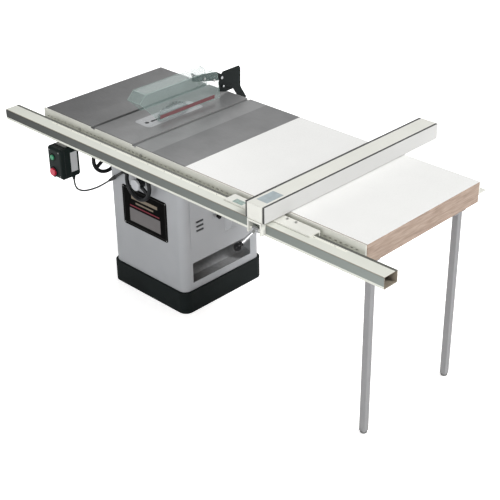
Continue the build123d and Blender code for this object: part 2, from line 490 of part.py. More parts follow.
def extension_legs():
    legs = []
    x = EXT_RIGHT - LEG_W / 2
    top = APRON_LOW - LEG_PLATE_T
    for y in LEG_Y:
        leg = pillar(LEG_W, LEG_W, 3, FOOT_H, top, x, y)
        leg -= pillar(LEG_W - 2 * LEG_WALL, LEG_W - 2 * LEG_WALL, 1, FOOT_H, top, x, y)
        plate = block(EXT_RIGHT - LEG_PLATE, EXT_RIGHT, y - LEG_PLATE / 2, y + LEG_PLATE / 2, top, APRON_LOW)
        legs.append(leg + plate)
    return group(*legs)


def leg_feet():
    feet = []
    for y in LEG_Y:
        pad = rod_z(FOOT_R, EXT_RIGHT - LEG_W / 2, y, 0, FOOT_H)
        pad = fillet(pad.edges().group_by(Axis.Z)[0], FOOT_ROUND)
        side = LEG_W - 2 * LEG_WALL - 2 * SLIP
        plug = pillar(side, side, 1, FOOT_H, FOOT_H + FOOT_PLUG_H, EXT_RIGHT - LEG_W / 2, y)
        feet.append(pad + plug)
    return group(*feet)


# ---------------------------------------------------------------- trunnions and carriage
POST_IN, POST_OUT, POST_DROP = 112.0, 170.0, 62.0
BEARING_X, BEARING_W, BEARING_BOSS_R = -80.0, 20.0, 16.0
GROOVE_FLOOR = 0.3    # gap between the rib's crest and the groove's floor


def trunnion_bracket(face, side):
    """Half ring fixed under the table, whose groove carries the trunnion's rib; side is -1 front, +1 back."""
    near = face + side * RIB_FIT
    ys = sorted((near, near + side * BRACKET_T))
    ring = arc_y(BRACKET_R0, BRACKET_R1, -BRACKET_A, BRACKET_A, *ys)
    for hand in (-1, 1):
        xs = sorted((hand * POST_IN, hand * POST_OUT))
        ring += block(*xs, *ys, TABLE_TOP - POST_DROP, UNDER)
    cut = sorted((near - side, face + side * (RIB_H + GROOVE_FLOOR)))
    return ring - arc_y(RIB_R0 - RIB_FIT, RIB_R1 + RIB_FIT, -BRACKET_A, BRACKET_A, *cut)


def front_trunnion_bracket():
    near = FRONT_TRUN_Y - RIB_FIT
    x1 = BEARING_X + BEARING_W
    top = TABLE_TOP - sqrt(BRACKET_R1**2 - BEARING_X**2) + 4
    body = trunnion_bracket(FRONT_TRUN_Y, -1)
    body += block(BEARING_X, x1, near - BRACKET_T, near, TILT_Z - BEARING_BOSS_R, top)
    body += rod_x(BEARING_BOSS_R, BEARING_X, x1, TILT_Y, TILT_Z)
    return body - rod_x(SHAFT_R + RUN, BEARING_X - 1, x1 + 1, TILT_Y, TILT_Z)


def trunnion(face, side):
    """Tilting end plate with its rib, and the boss that the raising shaft turns in."""
    ys = sorted((face, face - side * TRUN_T))
    body = arc_y(TRUN_R0, TRUN_R1, TRUN_A0, TRUN_A1, *ys)
    body += arc_y(RIB_R0, RIB_R1, TRUN_A0, TRUN_A1, *sorted((face, face + side * RIB_H)))
    body += block(RAISE_X - WEB_HALF, RAISE_X + WEB_HALF, *ys, RAISE_Z, TABLE_TOP - TRUN_R1 + WEB_LAP)
    body += rod_y(BOSS_R, RAISE_X, *ys, RAISE_Z)
    return body - rod_y(SHAFT_R + RUN, RAISE_X, ys[0] - 1, ys[1] + 1, RAISE_Z)


def front_trunnion():
    body = trunnion(FRONT_TRUN_Y, -1)
    teeth = [(x, TABLE_TOP - down) for x, down in toothed(TRUN_R1 - 6, GEAR_R, TRUN_A0 + 1, 3.0)]
    return body + plate_y(teeth, FRONT_TRUN_Y, FRONT_TRUN_Y + TRUN_T)


def rear_trunnion():
    ys = REAR_TRUN_Y - TRUN_T, REAR_TRUN_Y
    z = TABLE_TOP - ROD_DEPTH
    body = trunnion(REAR_TRUN_Y, 1)
    body += block(-2 * ROD_R, 2 * ROD_R, *ys, TABLE_TOP - TRUN_R0 - 5, z) + rod_y(2 * ROD_R, 0, *ys, z)
    return body - rod_y(ROD_R, 0, ys[0] - 1, ys[1] + 1, z)


def carriage_beams():
    y0, y1 = FRONT_TRUN_Y + TRUN_T, REAR_TRUN_Y - TRUN_T
    z1 = PIVOT_Z - BEAM_DROP
    beams = []
    for x0, width in ((BEAM_LEFT_X, BEAM_W), (BEAM_RIGHT_X, LUG_RIGHT_W)):
        beam = block(x0, x0 + width, y0, y1, z1 - BEAM_H, z1)
        beam += rod_x(LUG_R, x0, x0 + width, PIVOT_Y, PIVOT_Z)
        beams.append(beam - rod_x(PIN_R, x0 - 1, x0 + width + 1, PIVOT_Y, PIVOT_Z))
    return group(*beams)


def arm_pivot_pin():
    return rod_x(PIN_R, BEAM_LEFT_X, BEAM_RIGHT_X + LUG_RIGHT_W, PIVOT_Y, PIVOT_Z)


# ---------------------------------------------------------------- arm, motor and blade
ARM_GEAR_A0, ARM_GEAR_A1, ARM_GEAR_X0, ARM_GEAR_X1 = -24.0, 13.0, 22.0, 38.0
WEB_PIVOT, WEB_ARBOR, PLATE_PIVOT, PLATE_MOTOR = 14.0, 20.0, 15.0, 56.0


def link(y0, z0, half0, y1, z1, half1):
    """Corners of a tapering bar between two centres, as (y, z)."""
    length = hypot(y1 - y0, z1 - z0)
    ny, nz = (z0 - z1) / length, (y1 - y0) / length
    return [(y0 + ny * half0, z0 + nz * half0), (y1 + ny * half1, z1 + nz * half1),
            (y1 - ny * half1, z1 - nz * half1), (y0 - ny * half0, z0 - nz * half0)]


def arbor_arm():
    housing = HOUSING_RIGHT - HOUSING_L, HOUSING_RIGHT
    face = ARM_LEFT, ARM_LEFT + FACE_PLATE_T
    body = rod_x(PIVOT_TUBE_R, ARM_LEFT, ARM_RIGHT, PIVOT_Y, PIVOT_Z)
    body += rod_x(HOUSING_R, *housing, BLADE_Y, ARBOR_Z)
    web = link(PIVOT_Y, PIVOT_Z, WEB_PIVOT, BLADE_Y, ARBOR_Z, WEB_ARBOR)
    body += plate_x(web, housing[0] + 4, housing[1] - 4)
    body += plate_x(link(PIVOT_Y, PIVOT_Z, PLATE_PIVOT, MOTOR_Y, MOTOR_Z, PLATE_MOTOR), *face)
    body += rod_x(PLATE_MOTOR + 6, *face, MOTOR_Y, MOTOR_Z)
    segment = [(PIVOT_Y + y, PIVOT_Z - down) for y, down in toothed(4, ARM_GEAR_R, ARM_GEAR_A0, ARM_GEAR_A1)]
    body += plate_x(segment, ARM_GEAR_X0, ARM_GEAR_X1)
    body -= rod_x(PIN_R + RUN, ARM_LEFT - 1, ARM_RIGHT + 1, PIVOT_Y, PIVOT_Z)
    body -= rod_x(BEARING_R - 3, housing[0] - 1, housing[1] + 1, BLADE_Y, ARBOR_Z)
    for x0, x1 in ((housing[0], housing[0] + BEARING_T), (housing[1] - BEARING_T, housing[1])):
        body -= rod_x(BEARING_R, x0, x1, BLADE_Y, ARBOR_Z)
    return body - rod_x(MOTOR_SHAFT_R + 3, face[0] - 1, face[1] + 1, MOTOR_Y, MOTOR_Z)


def arbor_bearings():
    rings = []
    left = HOUSING_RIGHT - HOUSING_L
    for x0 in (left, HOUSING_RIGHT - BEARING_T):
        ring = rod_x(BEARING_R, x0, x0 + BEARING_T, BLADE_Y, ARBOR_Z)
        rings.append(ring - rod_x(ARBOR_R + RUN, x0 - 1, x0 + BEARING_T + 1, BLADE_Y, ARBOR_Z))
    return group(*rings)


def arbor_shaft():
    blade_left = -BLADE_T / 2
    left = PULLEY_RIGHT - PULLEY_W - 2
    shaft = rod_x(ARBOR_R, left, blade_left, BLADE_Y, ARBOR_Z)
    shaft += rod_x(FLANGE_R, blade_left - FLANGE_T, blade_left, BLADE_Y, ARBOR_Z)
    return shaft + rod_x(ARBOR_END_R, blade_left, ARBOR_END_L, BLADE_Y, ARBOR_Z)


def saw_blade():
    step = 360 / BLADE_TEETH
    points = []
    for i in range(BLADE_TEETH):
        low = BLADE_R - GULLET
        for share, r in ((0.0, BLADE_R), (0.06, low), (0.32, low), (0.52, BLADE_R - 2.5)):
            a = radians((i + share) * step)
            points.append((BLADE_Y + r * cos(a), ARBOR_Z + r * sin(a)))
    half = BLADE_T / 2
    return plate_x(points, -half, half) - rod_x(ARBOR_END_R, -half - 1, half + 1, BLADE_Y, ARBOR_Z)


def arbor_nut():
    x = BLADE_T / 2
    nut = Pos(x + WASHER_T, BLADE_Y, ARBOR_Z) * Rot(0, 90, 0) * extrude(RegularPolygon(NUT_R, 6), NUT_T)
    washer = rod_x(FLANGE_R, x, x + WASHER_T, BLADE_Y, ARBOR_Z)
    hole = rod_x(ARBOR_END_R, x - 1, x + WASHER_T + NUT_T + 1, BLADE_Y, ARBOR_Z)
    return group(washer - hole, nut - hole)


def pulley(radius, y, z):
    body = rod_x(radius, PULLEY_RIGHT - PULLEY_W, PULLEY_RIGHT, y, z)
    for x in belt_centres():
        groove = rod_x(radius + 1, x - GROOVE_W / 2, x + GROOVE_W / 2, y, z)
        body -= groove - rod_x(radius - GROOVE_DEPTH, x - GROOVE_W, x + GROOVE_W, y, z)
    return body


def belt_centres():
    middle = PULLEY_RIGHT - PULLEY_W / 2
    return [middle + BELT_PITCH * i for i in (-1, 0, 1)]


def arbor_pulley():
    hole = rod_x(ARBOR_R, PULLEY_RIGHT - PULLEY_W - 1, PULLEY_RIGHT + 1, BLADE_Y, ARBOR_Z)
    return pulley(ARBOR_PULLEY_R, BLADE_Y, ARBOR_Z) - hole


def motor_pulley():
    body = pulley(MOTOR_PULLEY_R, MOTOR_Y, MOTOR_Z)
    return body + rod_x(MOTOR_SHAFT_R, MOTOR_RIGHT - MOTOR_SHAFT_IN, PULLEY_RIGHT, MOTOR_Y, MOTOR_Z)


def motor_body():
    left = MOTOR_RIGHT - MOTOR_L
    body = rod_x(MOTOR_R, left, MOTOR_RIGHT, MOTOR_Y, MOTOR_Z)
    body = fillet(body.edges().group_by(Axis.X)[0], 10)
    for i in range(24):
        spin = Pos(0, MOTOR_Y, MOTOR_Z) * Rot(15 * i, 0, 0) * Pos(0, -MOTOR_Y, -MOTOR_Z)
        body -= spin * block(left + 26, MOTOR_RIGHT - 16, MOTOR_Y - 2.5, MOTOR_Y + 2.5,
                             MOTOR_Z + MOTOR_R - 5, MOTOR_Z + MOTOR_R + 5)
    bore = MOTOR_RIGHT - MOTOR_SHAFT_IN - 1, MOTOR_RIGHT + 1
    return body - rod_x(MOTOR_SHAFT_R + RUN, *bore, MOTOR_Y, MOTOR_Z)


def belt_face(ra, rb, x):
    """Outline of an open belt around the arbor (ra) and motor (rb) pulleys, in the plane X = x."""
    dy, dz = MOTOR_Y - BLADE_Y, MOTOR_Z - ARBOR_Z
    heading = degrees(atan2(dz, dy))
    wrap = 90 - degrees(asin((ra - rb) / hypot(dy, dz)))

    def at(y, z, r, a):
        return Vector(x, y + r * cos(radians(a)), z + r * sin(radians(a)))
    near, far = (BLADE_Y, ARBOR_Z, ra), (MOTOR_Y, MOTOR_Z, rb)
    up, down = heading + wrap, heading - wrap
    return Face(Wire([
        ThreePointArc(at(*near, up), at(*near, heading + 180), at(*near, down)).edge(),
        Line(at(*near, down), at(*far, down)).edge(),
        ThreePointArc(at(*far, down), at(*far, heading), at(*far, up)).edge(),
        Line(at(*far, up), at(*near, up)).edge(),
    ]))


def drive_belts():
    belts = []
    for x in belt_centres():
        x0, thrust = x - BELT_W / 2, Vector(BELT_W, 0, 0)
        radii = ARBOR_PULLEY_R + BELT_PROUD, MOTOR_PULLEY_R + BELT_PROUD
        outer = Solid.extrude(belt_face(*radii, x0), thrust)
        inner = Solid.extrude(belt_face(radii[0] - BELT_H, radii[1] - BELT_H, x0), thrust)
        belts.append(outer - inner)
    return group(*belts)


# ---------------------------------------------------------------- handwheels
CAP_R, CAP_T = 8.5, 2.5
SHAFT_PROUD = 8.0     # how far a shaft runs into its lock knob


def handwheel():
    """Wheel about Z with its rim in the plane z = 0 and its face towards +Z."""
    hub = Pos(0, 0, (HUB_FRONT - HUB_BACK) / 2) * Cylinder(WHEEL_HUB_R, HUB_FRONT + HUB_BACK)
    body = Torus(WHEEL_R, WHEEL_RIM_R) + hub
    for i in range(3):
        spoke = Pos(WHEEL_R / 2, 0, -3) * Box(WHEEL_R, 15, 9)
        body += Rot(0, 0, 90 + 120 * i) * spoke
    body -= Pos(0, 0, 0) * Cylinder(SHAFT_R, 4 * HUB_BACK)
    pin_l = spinner_base() + SPINNER_L + SPINNER_GAP + CAP_T
    pin = Pos(0, WHEEL_R, 0) * extrude(Circle(SPINNER_PIN_R), pin_l)
    cap = Pos(0, WHEEL_R, spinner_base() + SPINNER_L + SPINNER_GAP) * extrude(Circle(CAP_R), CAP_T)
    return body + pin + cap


def spinner_base():
    return WHEEL_RIM_R + SPINNER_GAP


def spinner():
    """Turning handle on the wheel's pin."""
    body = Pos(0, WHEEL_R, spinner_base()) * extrude(Circle(SPINNER_R), SPINNER_L)
    body = fillet(body.edges().filter_by(GeomType.CIRCLE), 3)
    return body - Pos(0, WHEEL_R, spinner_base() - 1) * extrude(Circle(SPINNER_PIN_R + RUN), SPINNER_L + 2)


def lock_button():
    """Lock knob on the shaft's end, in front of the wheel's hub."""
    body = Pos(0, 0, HUB_FRONT + SLIP) * extrude(Circle(KNOB_FACE_R), KNOB_FACE_T)
    body = fillet(body.edges().group_by(Axis.Z)[-1], 3)
    for i in range(9):
        body -= Rot(0, 0, 40 * i) * Pos(KNOB_FACE_R + 2, 0, HUB_FRONT) * extrude(Circle(4), KNOB_FACE_T + 2)
    return body - Pos(0, 0, HUB_FRONT - 1) * extrude(Circle(SHAFT_R + RUN), SHAFT_PROUD + SLIP + 1)


def at_raise(shape):
    return Pos(RAISE_X, RAISE_WHEEL_Y, RAISE_Z) * Rot(90, 0, 0) * shape


def at_tilt(shape):
    return Pos(TILT_WHEEL_X, TILT_Y, TILT_Z) * Rot(0, -90, 0) * Rot(0, 0, -90) * shape


def raise_shaft():
    front = RAISE_WHEEL_Y - HUB_FRONT - SHAFT_PROUD + 1
    shaft = rod_y(SHAFT_R, RAISE_X, front, REAR_TRUN_Y, RAISE_Z)
    half = RAISE_WORM_L / 2
    return shaft + rod_y(RAISE_WORM_R, RAISE_X, PIVOT_Y - half, PIVOT_Y + half, RAISE_Z)


def tilt_shaft():
    left = TILT_WHEEL_X - HUB_FRONT - SHAFT_PROUD + 1
    shaft = rod_x(SHAFT_R, left, 6, TILT_Y, TILT_Z)
    return shaft + rod_x(WORM_R, 4 - WORM_L, 4, TILT_Y, TILT_Z)


# ---------------------------------------------------------------- splitter, pawls and guard
CLAMP_GAP, CLAMP_L, CLAMP_HALF, CLAMP_UNDER, CLAMP_OVER = 8.0, 46.0, 14.0, 16.0, 36.0
CLAMP_Y0 = TABLE_BACK + REAR_LEG_D + CLAMP_GAP
CLAMP_Y1 = CLAMP_Y0 + CLAMP_L
ROD_BACK = CLAMP_Y1 + ROD_PAST
CLAMP_LOW, CLAMP_TOP = TABLE_TOP - ROD_DEPTH - CLAMP_UNDER, TABLE_TOP - ROD_DEPTH + CLAMP_OVER
CLAMP_KNOB_R, CLAMP_KNOB_T = 13.0, 16.0
SPLIT_SEAT = TABLE_TOP - ROD_DEPTH + ROD_R + 4  # bottom of the clamp's slot, above the rod
# splitter: corners (behind, above) from the table's upper back edge, then from the blade's
# centre and the table top
SPLIT_TAIL = ((73, 106), (83, 92), (81, 4), (91, -14), (118, -58), (104, -92), (60, -92), (55, -29), (33, 5))
SPLIT_NOSE = ((327, 4), (286, 15), (287, 62), (306, 98), (313, 105))
PAWL_OUTLINE = ((-9, -5), (-9, 6), (-3, 10), (4, 10), (12, 5), (50, -7), (56, -12), (55, -24), (47, -17),
                (44, -22), (37, -14), (33, -18), (24, -10), (6, -9))
ARM_T, ARM_IN = 3.0, 2.0
TIE_R = 4.0
# guard: corners (behind, above) from the blade's centre and the table top
TIES = ((162.0, 122.0), (220.0, 100.0))
ARM_OUTLINE = ((127, 133), (275, 113), (312, 91), (308, 72), (292, 70), (273, 74), (189, 94), (127, 110))
GUARD_OUTLINE = ((-220, 116), (-185, 149), (212, 149), (241, 124), (254, 8), (-119, 8), (-133, 26))


def over_blade(points):
    return [(BLADE_Y + y, TABLE_TOP + z) for y, z in points]


def splitter_rod():
    return rod_y(ROD_R, 0, REAR_TRUN_Y - TRUN_T, ROD_BACK, TABLE_TOP - ROD_DEPTH)


def splitter_bracket():
    """Split block clamped on the rod; the splitter stands in its slot under the knob's screw."""
    body = block(-CLAMP_HALF, CLAMP_HALF, CLAMP_Y0, CLAMP_Y1, CLAMP_LOW, CLAMP_TOP)
    body -= rod_y(ROD_R, 0, CLAMP_Y0 - 1, CLAMP_Y1 + 1, TABLE_TOP - ROD_DEPTH)
    body -= block(-SPLIT_T / 2, SPLIT_T / 2, CLAMP_Y0 - 1, CLAMP_Y1 + 1, SPLIT_SEAT, CLAMP_TOP + 1)
    y, z = (CLAMP_Y0 + CLAMP_Y1) / 2, CLAMP_TOP - 12
    knob = rod_x(CLAMP_KNOB_R, CLAMP_HALF, CLAMP_HALF + CLAMP_KNOB_T, y, z)
    return group(body, fillet(knob.edges().filter_by(GeomType.CIRCLE), 2.5))


def splitter_plate():
    tail = [(TABLE_BACK + y, max(TABLE_TOP + z, SPLIT_SEAT)) for y, z in SPLIT_TAIL]
    plate = plate_x(tail + over_blade(SPLIT_NOSE), -SPLIT_T / 2, SPLIT_T / 2)
    plate -= rod_x(GUARD_PIN_R, -SPLIT_T, SPLIT_T, GUARD_PIVOT_Y, GUARD_PIVOT_Z)
    return plate - rod_x(PAWL_PIN_R, -SPLIT_T, SPLIT_T, PAWL_Y, PAWL_Z)


def guard_pivot_pins():
    reach = SPLIT_T / 2 + ARM_IN + ARM_T
    guard = rod_x(GUARD_PIN_R, -reach - 1, reach + 1, GUARD_PIVOT_Y, GUARD_PIVOT_Z)
    for x0 in (-reach - 3.5, reach + 0.5):
        guard += rod_x(GUARD_PIN_R + 3, x0, x0 + 3, GUARD_PIVOT_Y, GUARD_PIVOT_Z)
    reach = SPLIT_T / 2 + SLIP + PAWL_T
    pawl = rod_x(PAWL_PIN_R, -reach - 1, reach + 1, PAWL_Y, PAWL_Z)
    for x0 in (-reach - 2.3, reach + 0.3):
        pawl += rod_x(PAWL_PIN_R + 2, x0, x0 + 2, PAWL_Y, PAWL_Z)
    return group(guard, pawl)


def kickback_pawls():
    points = [(PAWL_Y + y, PAWL_Z + z) for y, z in PAWL_OUTLINE]
    near = SPLIT_T / 2 + SLIP
    pair = []
    for x0 in (-near - PAWL_T, near):
        plate = plate_x(points, x0, x0 + PAWL_T)
        pair.append(plate - rod_x(PAWL_PIN_R + RUN, x0 - 1, x0 + PAWL_T + 1, PAWL_Y, PAWL_Z))
    return group(*pair)


def guard_arms():
    near = SPLIT_T / 2 + ARM_IN
    arms = []
    for x0 in (-near - ARM_T, near):
        arm = plate_x(over_blade(ARM_OUTLINE), x0, x0 + ARM_T)
        arms.append(arm - rod_x(GUARD_PIN_R + RUN, x0 - 1, x0 + ARM_T + 1, GUARD_PIVOT_Y, GUARD_PIVOT_Z))
    body = arms[0] + arms[1]
    half = GUARD_W / 2 - GUARD_T
    for y, z in over_blade(TIES):
        body += rod_x(TIE_R, -half, half, y, z)
    return body


def guard_shield():
    half = GUARD_W / 2
    outline = over_blade(GUARD_OUTLINE)
    outer = plate_x(outline, -half, half)
    inside = half - GUARD_T
    (nose, nose_z), (front, top), back = outline[0], outline[1], outline[4][0]
    roof, low = top - GUARD_T, TABLE_TOP - GUARD_LOW
    hollow = [(nose + 1.5 * GUARD_T, nose_z), (front + GUARD_T / 2, roof), (back + GUARD_W, roof),
              (back + GUARD_W, low), (outline[6][0] - GUARD_T, low)]
    body = outer - plate_x(hollow, -inside, inside)
    return body - block(-half - 1, -inside, nose - GUARD_T, back + GUARD_T, low, TABLE_TOP + GUARD_LOW_LEFT)


# ---------------------------------------------------------------- fence
CAP_DEEP, CAP_PLATE = 8.0, 2.5
SADDLE_W, CLAMP_FRONT, CHEEK_BACK = 70.0, TUBE_FRONT - 26.8, TUBE_FRONT - 1.3
SET_X, SET_R, SET_UP = (71.0, 113.0), 5.0, 4.0


def fence_beam():
    x0, x1, y1 = FENCE_X - BEAM_X / 2, FENCE_X + BEAM_X / 2, FENCE_FRONT + FENCE_L
    body = block(x0, x1, FENCE_FRONT, y1, FENCE_LOW, FENCE_TOP)
    body = fillet(body.edges().filter_by(Axis.Y), 3)
    wall = BEAM_WALL
    return body - block(x0 + wall, x1 - wall, FENCE_FRONT - 1, y1 + 1, FENCE_LOW + wall, FENCE_TOP - wall)


def fence_caps():
    caps = []
    width, height = BEAM_X - 2 * BEAM_WALL - 2 * SLIP, BEAM_Z - 2 * BEAM_WALL - 2 * SLIP
    middle = (FENCE_LOW + FENCE_TOP) / 2
    for y, way in ((FENCE_FRONT, 1), (FENCE_FRONT + FENCE_L, -1)):
        plate = block(FENCE_X - BEAM_X / 2, FENCE_X + BEAM_X / 2, *sorted((y, y - way * CAP_PLATE)),
                      FENCE_LOW, FENCE_TOP)
        plug = block(FENCE_X - width / 2, FENCE_X + width / 2, *sorted((y, y + way * CAP_DEEP)),
                     middle - height / 2, middle + height / 2)
        caps.append(plate + plug)
    return group(*caps)


def fence_faces():
    boards = []
    for side in (-1, 1):
        xs = sorted((FENCE_X + side * BEAM_X / 2, FENCE_X + side * (BEAM_X / 2 + FACE_T)))
        boards.append(block(*xs, FENCE_FRONT, FENCE_FRONT + FENCE_L, FENCE_LOW, FENCE_TOP))
    return group(*boards)


def fence_head():
    """T-square head: flange over the tube, leg behind it, and the cheeks that carry the lever."""
    x0, x1 = FENCE_X - HEAD_L / 2, FENCE_X + HEAD_L / 2
    front = HEAD_BACK - HEAD_D
    body = block(x0, x1, front, HEAD_BACK, HEAD_LOW, HEAD_TOP)
    body += block(x0, x1, HEAD_BACK - HEAD_T, HEAD_BACK, HEAD_LEG_LOW, HEAD_TOP)
    half = SADDLE_W / 2
    body += block(FENCE_X - half, FENCE_X + half, CLAMP_FRONT, HEAD_BACK, HEAD_TOP, FENCE_LOW)
    half = CHEEK_W / 2
    for side in (-1, 1):
        xs = sorted((FENCE_X + side * half, FENCE_X + side * (half - CHEEK_T)))
        body += block(*xs, CLAMP_FRONT, CHEEK_BACK, CHEEK_LOW, FENCE_LOW)
    body += rod_x(LEVER_PIN_R, FENCE_X - half + 1, FENCE_X + half - 1, LEVER_Y, LEVER_Z)
    for side in (-1, 1):
        x = FENCE_X + side * PAD_OFFSET
        hole_z = (TUBE_TOP + HEAD_LEG_LOW) / 2
        body -= rod_y(GLIDE_R + BOLT_GAP, x, HEAD_BACK - HEAD_T - 1, HEAD_BACK + 1, hole_z)
    return body


def glide_pads():
    """Nylon pads between the head's leg and the tube, on adjusting screws through the leg."""
    z = (TUBE_TOP + HEAD_LEG_LOW) / 2
    pads = []
    for side in (-1, 1):
        x = FENCE_X + side * PAD_OFFSET
        pad = rod_y(PAD_R, x, TUBE_BACK + SLIP, HEAD_BACK - HEAD_T, z)
        pads.append(pad + rod_y(GLIDE_R, x, HEAD_BACK - HEAD_T, HEAD_BACK + 8, z))
    return group(*pads)


def fence_screws():
    """Squaring screws, standing on the head's flange."""
    screws = []
    y = (HEAD_BACK + TUBE_BACK - 12) / 2
    for side in (-1, 1):
        for offset in SET_X:
            x = FENCE_X + side * offset
            screw = rod_z(SET_R, x, y, HEAD_TOP, HEAD_TOP + SET_UP)
            socket = extrude(Pos(x, y, HEAD_TOP + SET_UP - 2.5) * RegularPolygon(2.5, 6), 3)
            screws.append(screw - socket)
    return group(*screws)


def lock_lever():
    cam = rod_x(CAM_R, FENCE_X - CAM_W / 2, FENCE_X + CAM_W / 2, LEVER_Y + CAM_OFF, LEVER_Z)
    angle = radians(LEVER_DROP)
    heading = Vector(0, -cos(angle), -sin(angle))
    start = Vector(FENCE_X, LEVER_Y, LEVER_Z)
    rod = Plane(origin=start, z_dir=heading) * extrude(Circle(LEVER_ROD_R), LEVER_L)
    return cam + rod - rod_x(LEVER_PIN_R + RUN, FENCE_X - CAM_W, FENCE_X + CAM_W, LEVER_Y, LEVER_Z)


def lock_knob():
    angle = radians(LEVER_DROP)
    heading = Vector(0, -cos(angle), -sin(angle))
    start = Vector(FENCE_X, LEVER_Y, LEVER_Z) + heading * (LEVER_L - 8)
    bore = Plane(origin=start, z_dir=heading) * extrude(Circle(LEVER_ROD_R), 8)
    neck = Plane(origin=start, z_dir=heading) * extrude(Circle(LEVER_ROD_R + 3.5), 12)
    centre = Vector(FENCE_X, LEVER_Y, LEVER_Z) + heading * (LEVER_L + KNOB_R - 3)
    return Pos(centre) * Sphere(KNOB_R) + neck - bore


# ---------------------------------------------------------------- switch and cord
BRACKET_SHEET = 4.0
BRACKET_X0, BRACKET_X1 = BOX_LEFT + 10.0, BOX_LEFT + 78.0
BRACKET_Y0, BRACKET_Y1 = BOX_FRONT + 38.0, BOX_FRONT + 100.0
BUTTON_X = BOX_LEFT + 33.0
CORD_OUT_X, CORD_OUT_Y = BOX_LEFT + 74.0, BOX_FRONT + 75.0
GLAND_R, GLAND_L, GLAND_TIP_R = 9.0, 22.0, 5.5


def switch_bracket():
    rail_low = TUBE_LOW - RAIL_T
    box_top = BOX_LOW + BOX_H
    xs = BRACKET_X0, BRACKET_X1
    body = block(*xs, BRACKET_Y0, BRACKET_Y1, rail_low - BRACKET_SHEET, rail_low)
    body += block(*xs, BRACKET_Y1 - BRACKET_SHEET, BRACKET_Y1, box_top, rail_low)
    return body + block(*xs, BRACKET_Y0, BRACKET_Y1, box_top, box_top + BRACKET_SHEET)


def switch_box():
    x0, x1, y0, y1 = BOX_LEFT, BOX_LEFT + BOX_W, BOX_FRONT, BOX_FRONT + BOX_D
    z0, z1 = BOX_LOW, BOX_LOW + BOX_H
    body = block(x0, x1, y0, y1, z0, z1)
    body = chamfer(body.edges().filter_by(Axis.X), BOX_ROUND * 1.5)
    body = fillet(body.edges().filter_by(Axis.Z), BOX_ROUND)
    wall = BOX_WALL
    body -= block(x0 + 2 * wall, x1 - 2 * wall, y0 + 2 * wall, y1 - 2 * wall, z0 + 2 * wall, z1 - 2 * wall)
    for z, r in ((START_Z, START_R), (STOP_Z, STOP_R)):
        body -= rod_y(r + SLIP, BUTTON_X, y0 - 1, y0 + 3 * wall, z)
    gland = Pos(CORD_OUT_X, CORD_OUT_Y, z0 - GLAND_L / 2) * Cone(GLAND_TIP_R, GLAND_R, GLAND_L)
    return body + gland


def push_button(z, radius, proud):
    body = rod_y(radius, BUTTON_X, BOX_FRONT - proud, BOX_FRONT + BOX_WALL, z)
    body = fillet(body.edges().group_by(Axis.Y)[0], 2)
    return body + rod_y(radius + 2, BUTTON_X, BOX_FRONT + 2 * BOX_WALL + 0.2, BOX_FRONT + 3 * BOX_WALL, z) \
        + rod_y(radius, BUTTON_X, BOX_FRONT, BOX_FRONT + 3 * BOX_WALL, z)


CONDUIT_Y = -CAB_Y / 2 - CONDUIT_OUT
FLOW = Vector(30, 20, 26).normalized()
JUNCTION = Vector(CONDUIT_START[0], CONDUIT_Y, CONDUIT_START[1])
CORD_END = JUNCTION - FLOW * GLAND_L
CORD_POINTS = (
    Vector(CORD_OUT_X, CORD_OUT_Y, BOX_LOW - GLAND_L),
    Vector(CORD_OUT_X, CORD_OUT_Y, 540),
    Vector(-263, -388, 509),
    Vector(-256, -335, 502),
    CORD_END - FLOW * 46,
    CORD_END,
)


def bend_radii(points):
    radii = []
    for a, b, c in zip(points, points[1:], points[2:]):
        into, out = b - a, c - b
        turn = radians(into.get_angle(out))
        radii.append(0.45 * min(into.length, out.length) * cos(turn / 2) / sin(turn / 2))
    return radii


def tube_length(points, radii):
    length = sum((b - a).length for a, b in zip(points, points[1:]))
    for a, b, c, r in zip(points, points[1:], points[2:], radii):
        turn = radians((b - a).get_angle(c - b))
        length -= r * (2 * sin(turn / 2) / cos(turn / 2) - turn)
    return length


def power_cord():
    radii = bend_radii(CORD_POINTS)
    path = FilletPolyline(*CORD_POINTS, radius=radii)
    start = Plane(origin=CORD_POINTS[0], z_dir=CORD_POINTS[1] - CORD_POINTS[0])
    cord = sweep(start * Circle(CORD_D / 2), path=path)
    length = tube_length(CORD_POINTS, radii)
    print("cord radii", [round(r, 1) for r in radii], "length", round(length, 1))
    print("cord volume", round(cord.volume), "section x length", round(length * 3.14159265 * CORD_D**2 / 4))
    return cord


def cord_connector():
    """Cord grip, and the conduit that leads the wires up and into the cabinet."""
    end = Vector(CONDUIT_END[0], CONDUIT_Y, CONDUIT_END[1])
    grip = Plane(origin=CORD_END, z_dir=FLOW) * Pos(0, 0, GLAND_L / 2) * Cone(GLAND_TIP_R, GLAND_R, GLAND_L)
    body = Pos(JUNCTION) * Sphere(GLAND_R) + grip
    run = end - JUNCTION
    body += Plane(origin=JUNCTION, z_dir=run) * extrude(Circle(GLAND_R), 22)
    body += Plane(origin=JUNCTION, z_dir=run) * extrude(Circle(CONDUIT_R), run.length)
    body += Pos(end) * Sphere(CONDUIT_R)
    front = -CAB_Y / 2
    body += rod_y(CONDUIT_R, end.X, CONDUIT_Y, front + SHEET + 8, end.Z)
    body += rod_y(CONDUIT_R + 3.5, end.X, front - 4, front, end.Z)
    return body + rod_y(CONDUIT_R + 3.5, end.X, front + SHEET, front + SHEET + 4, end.Z)


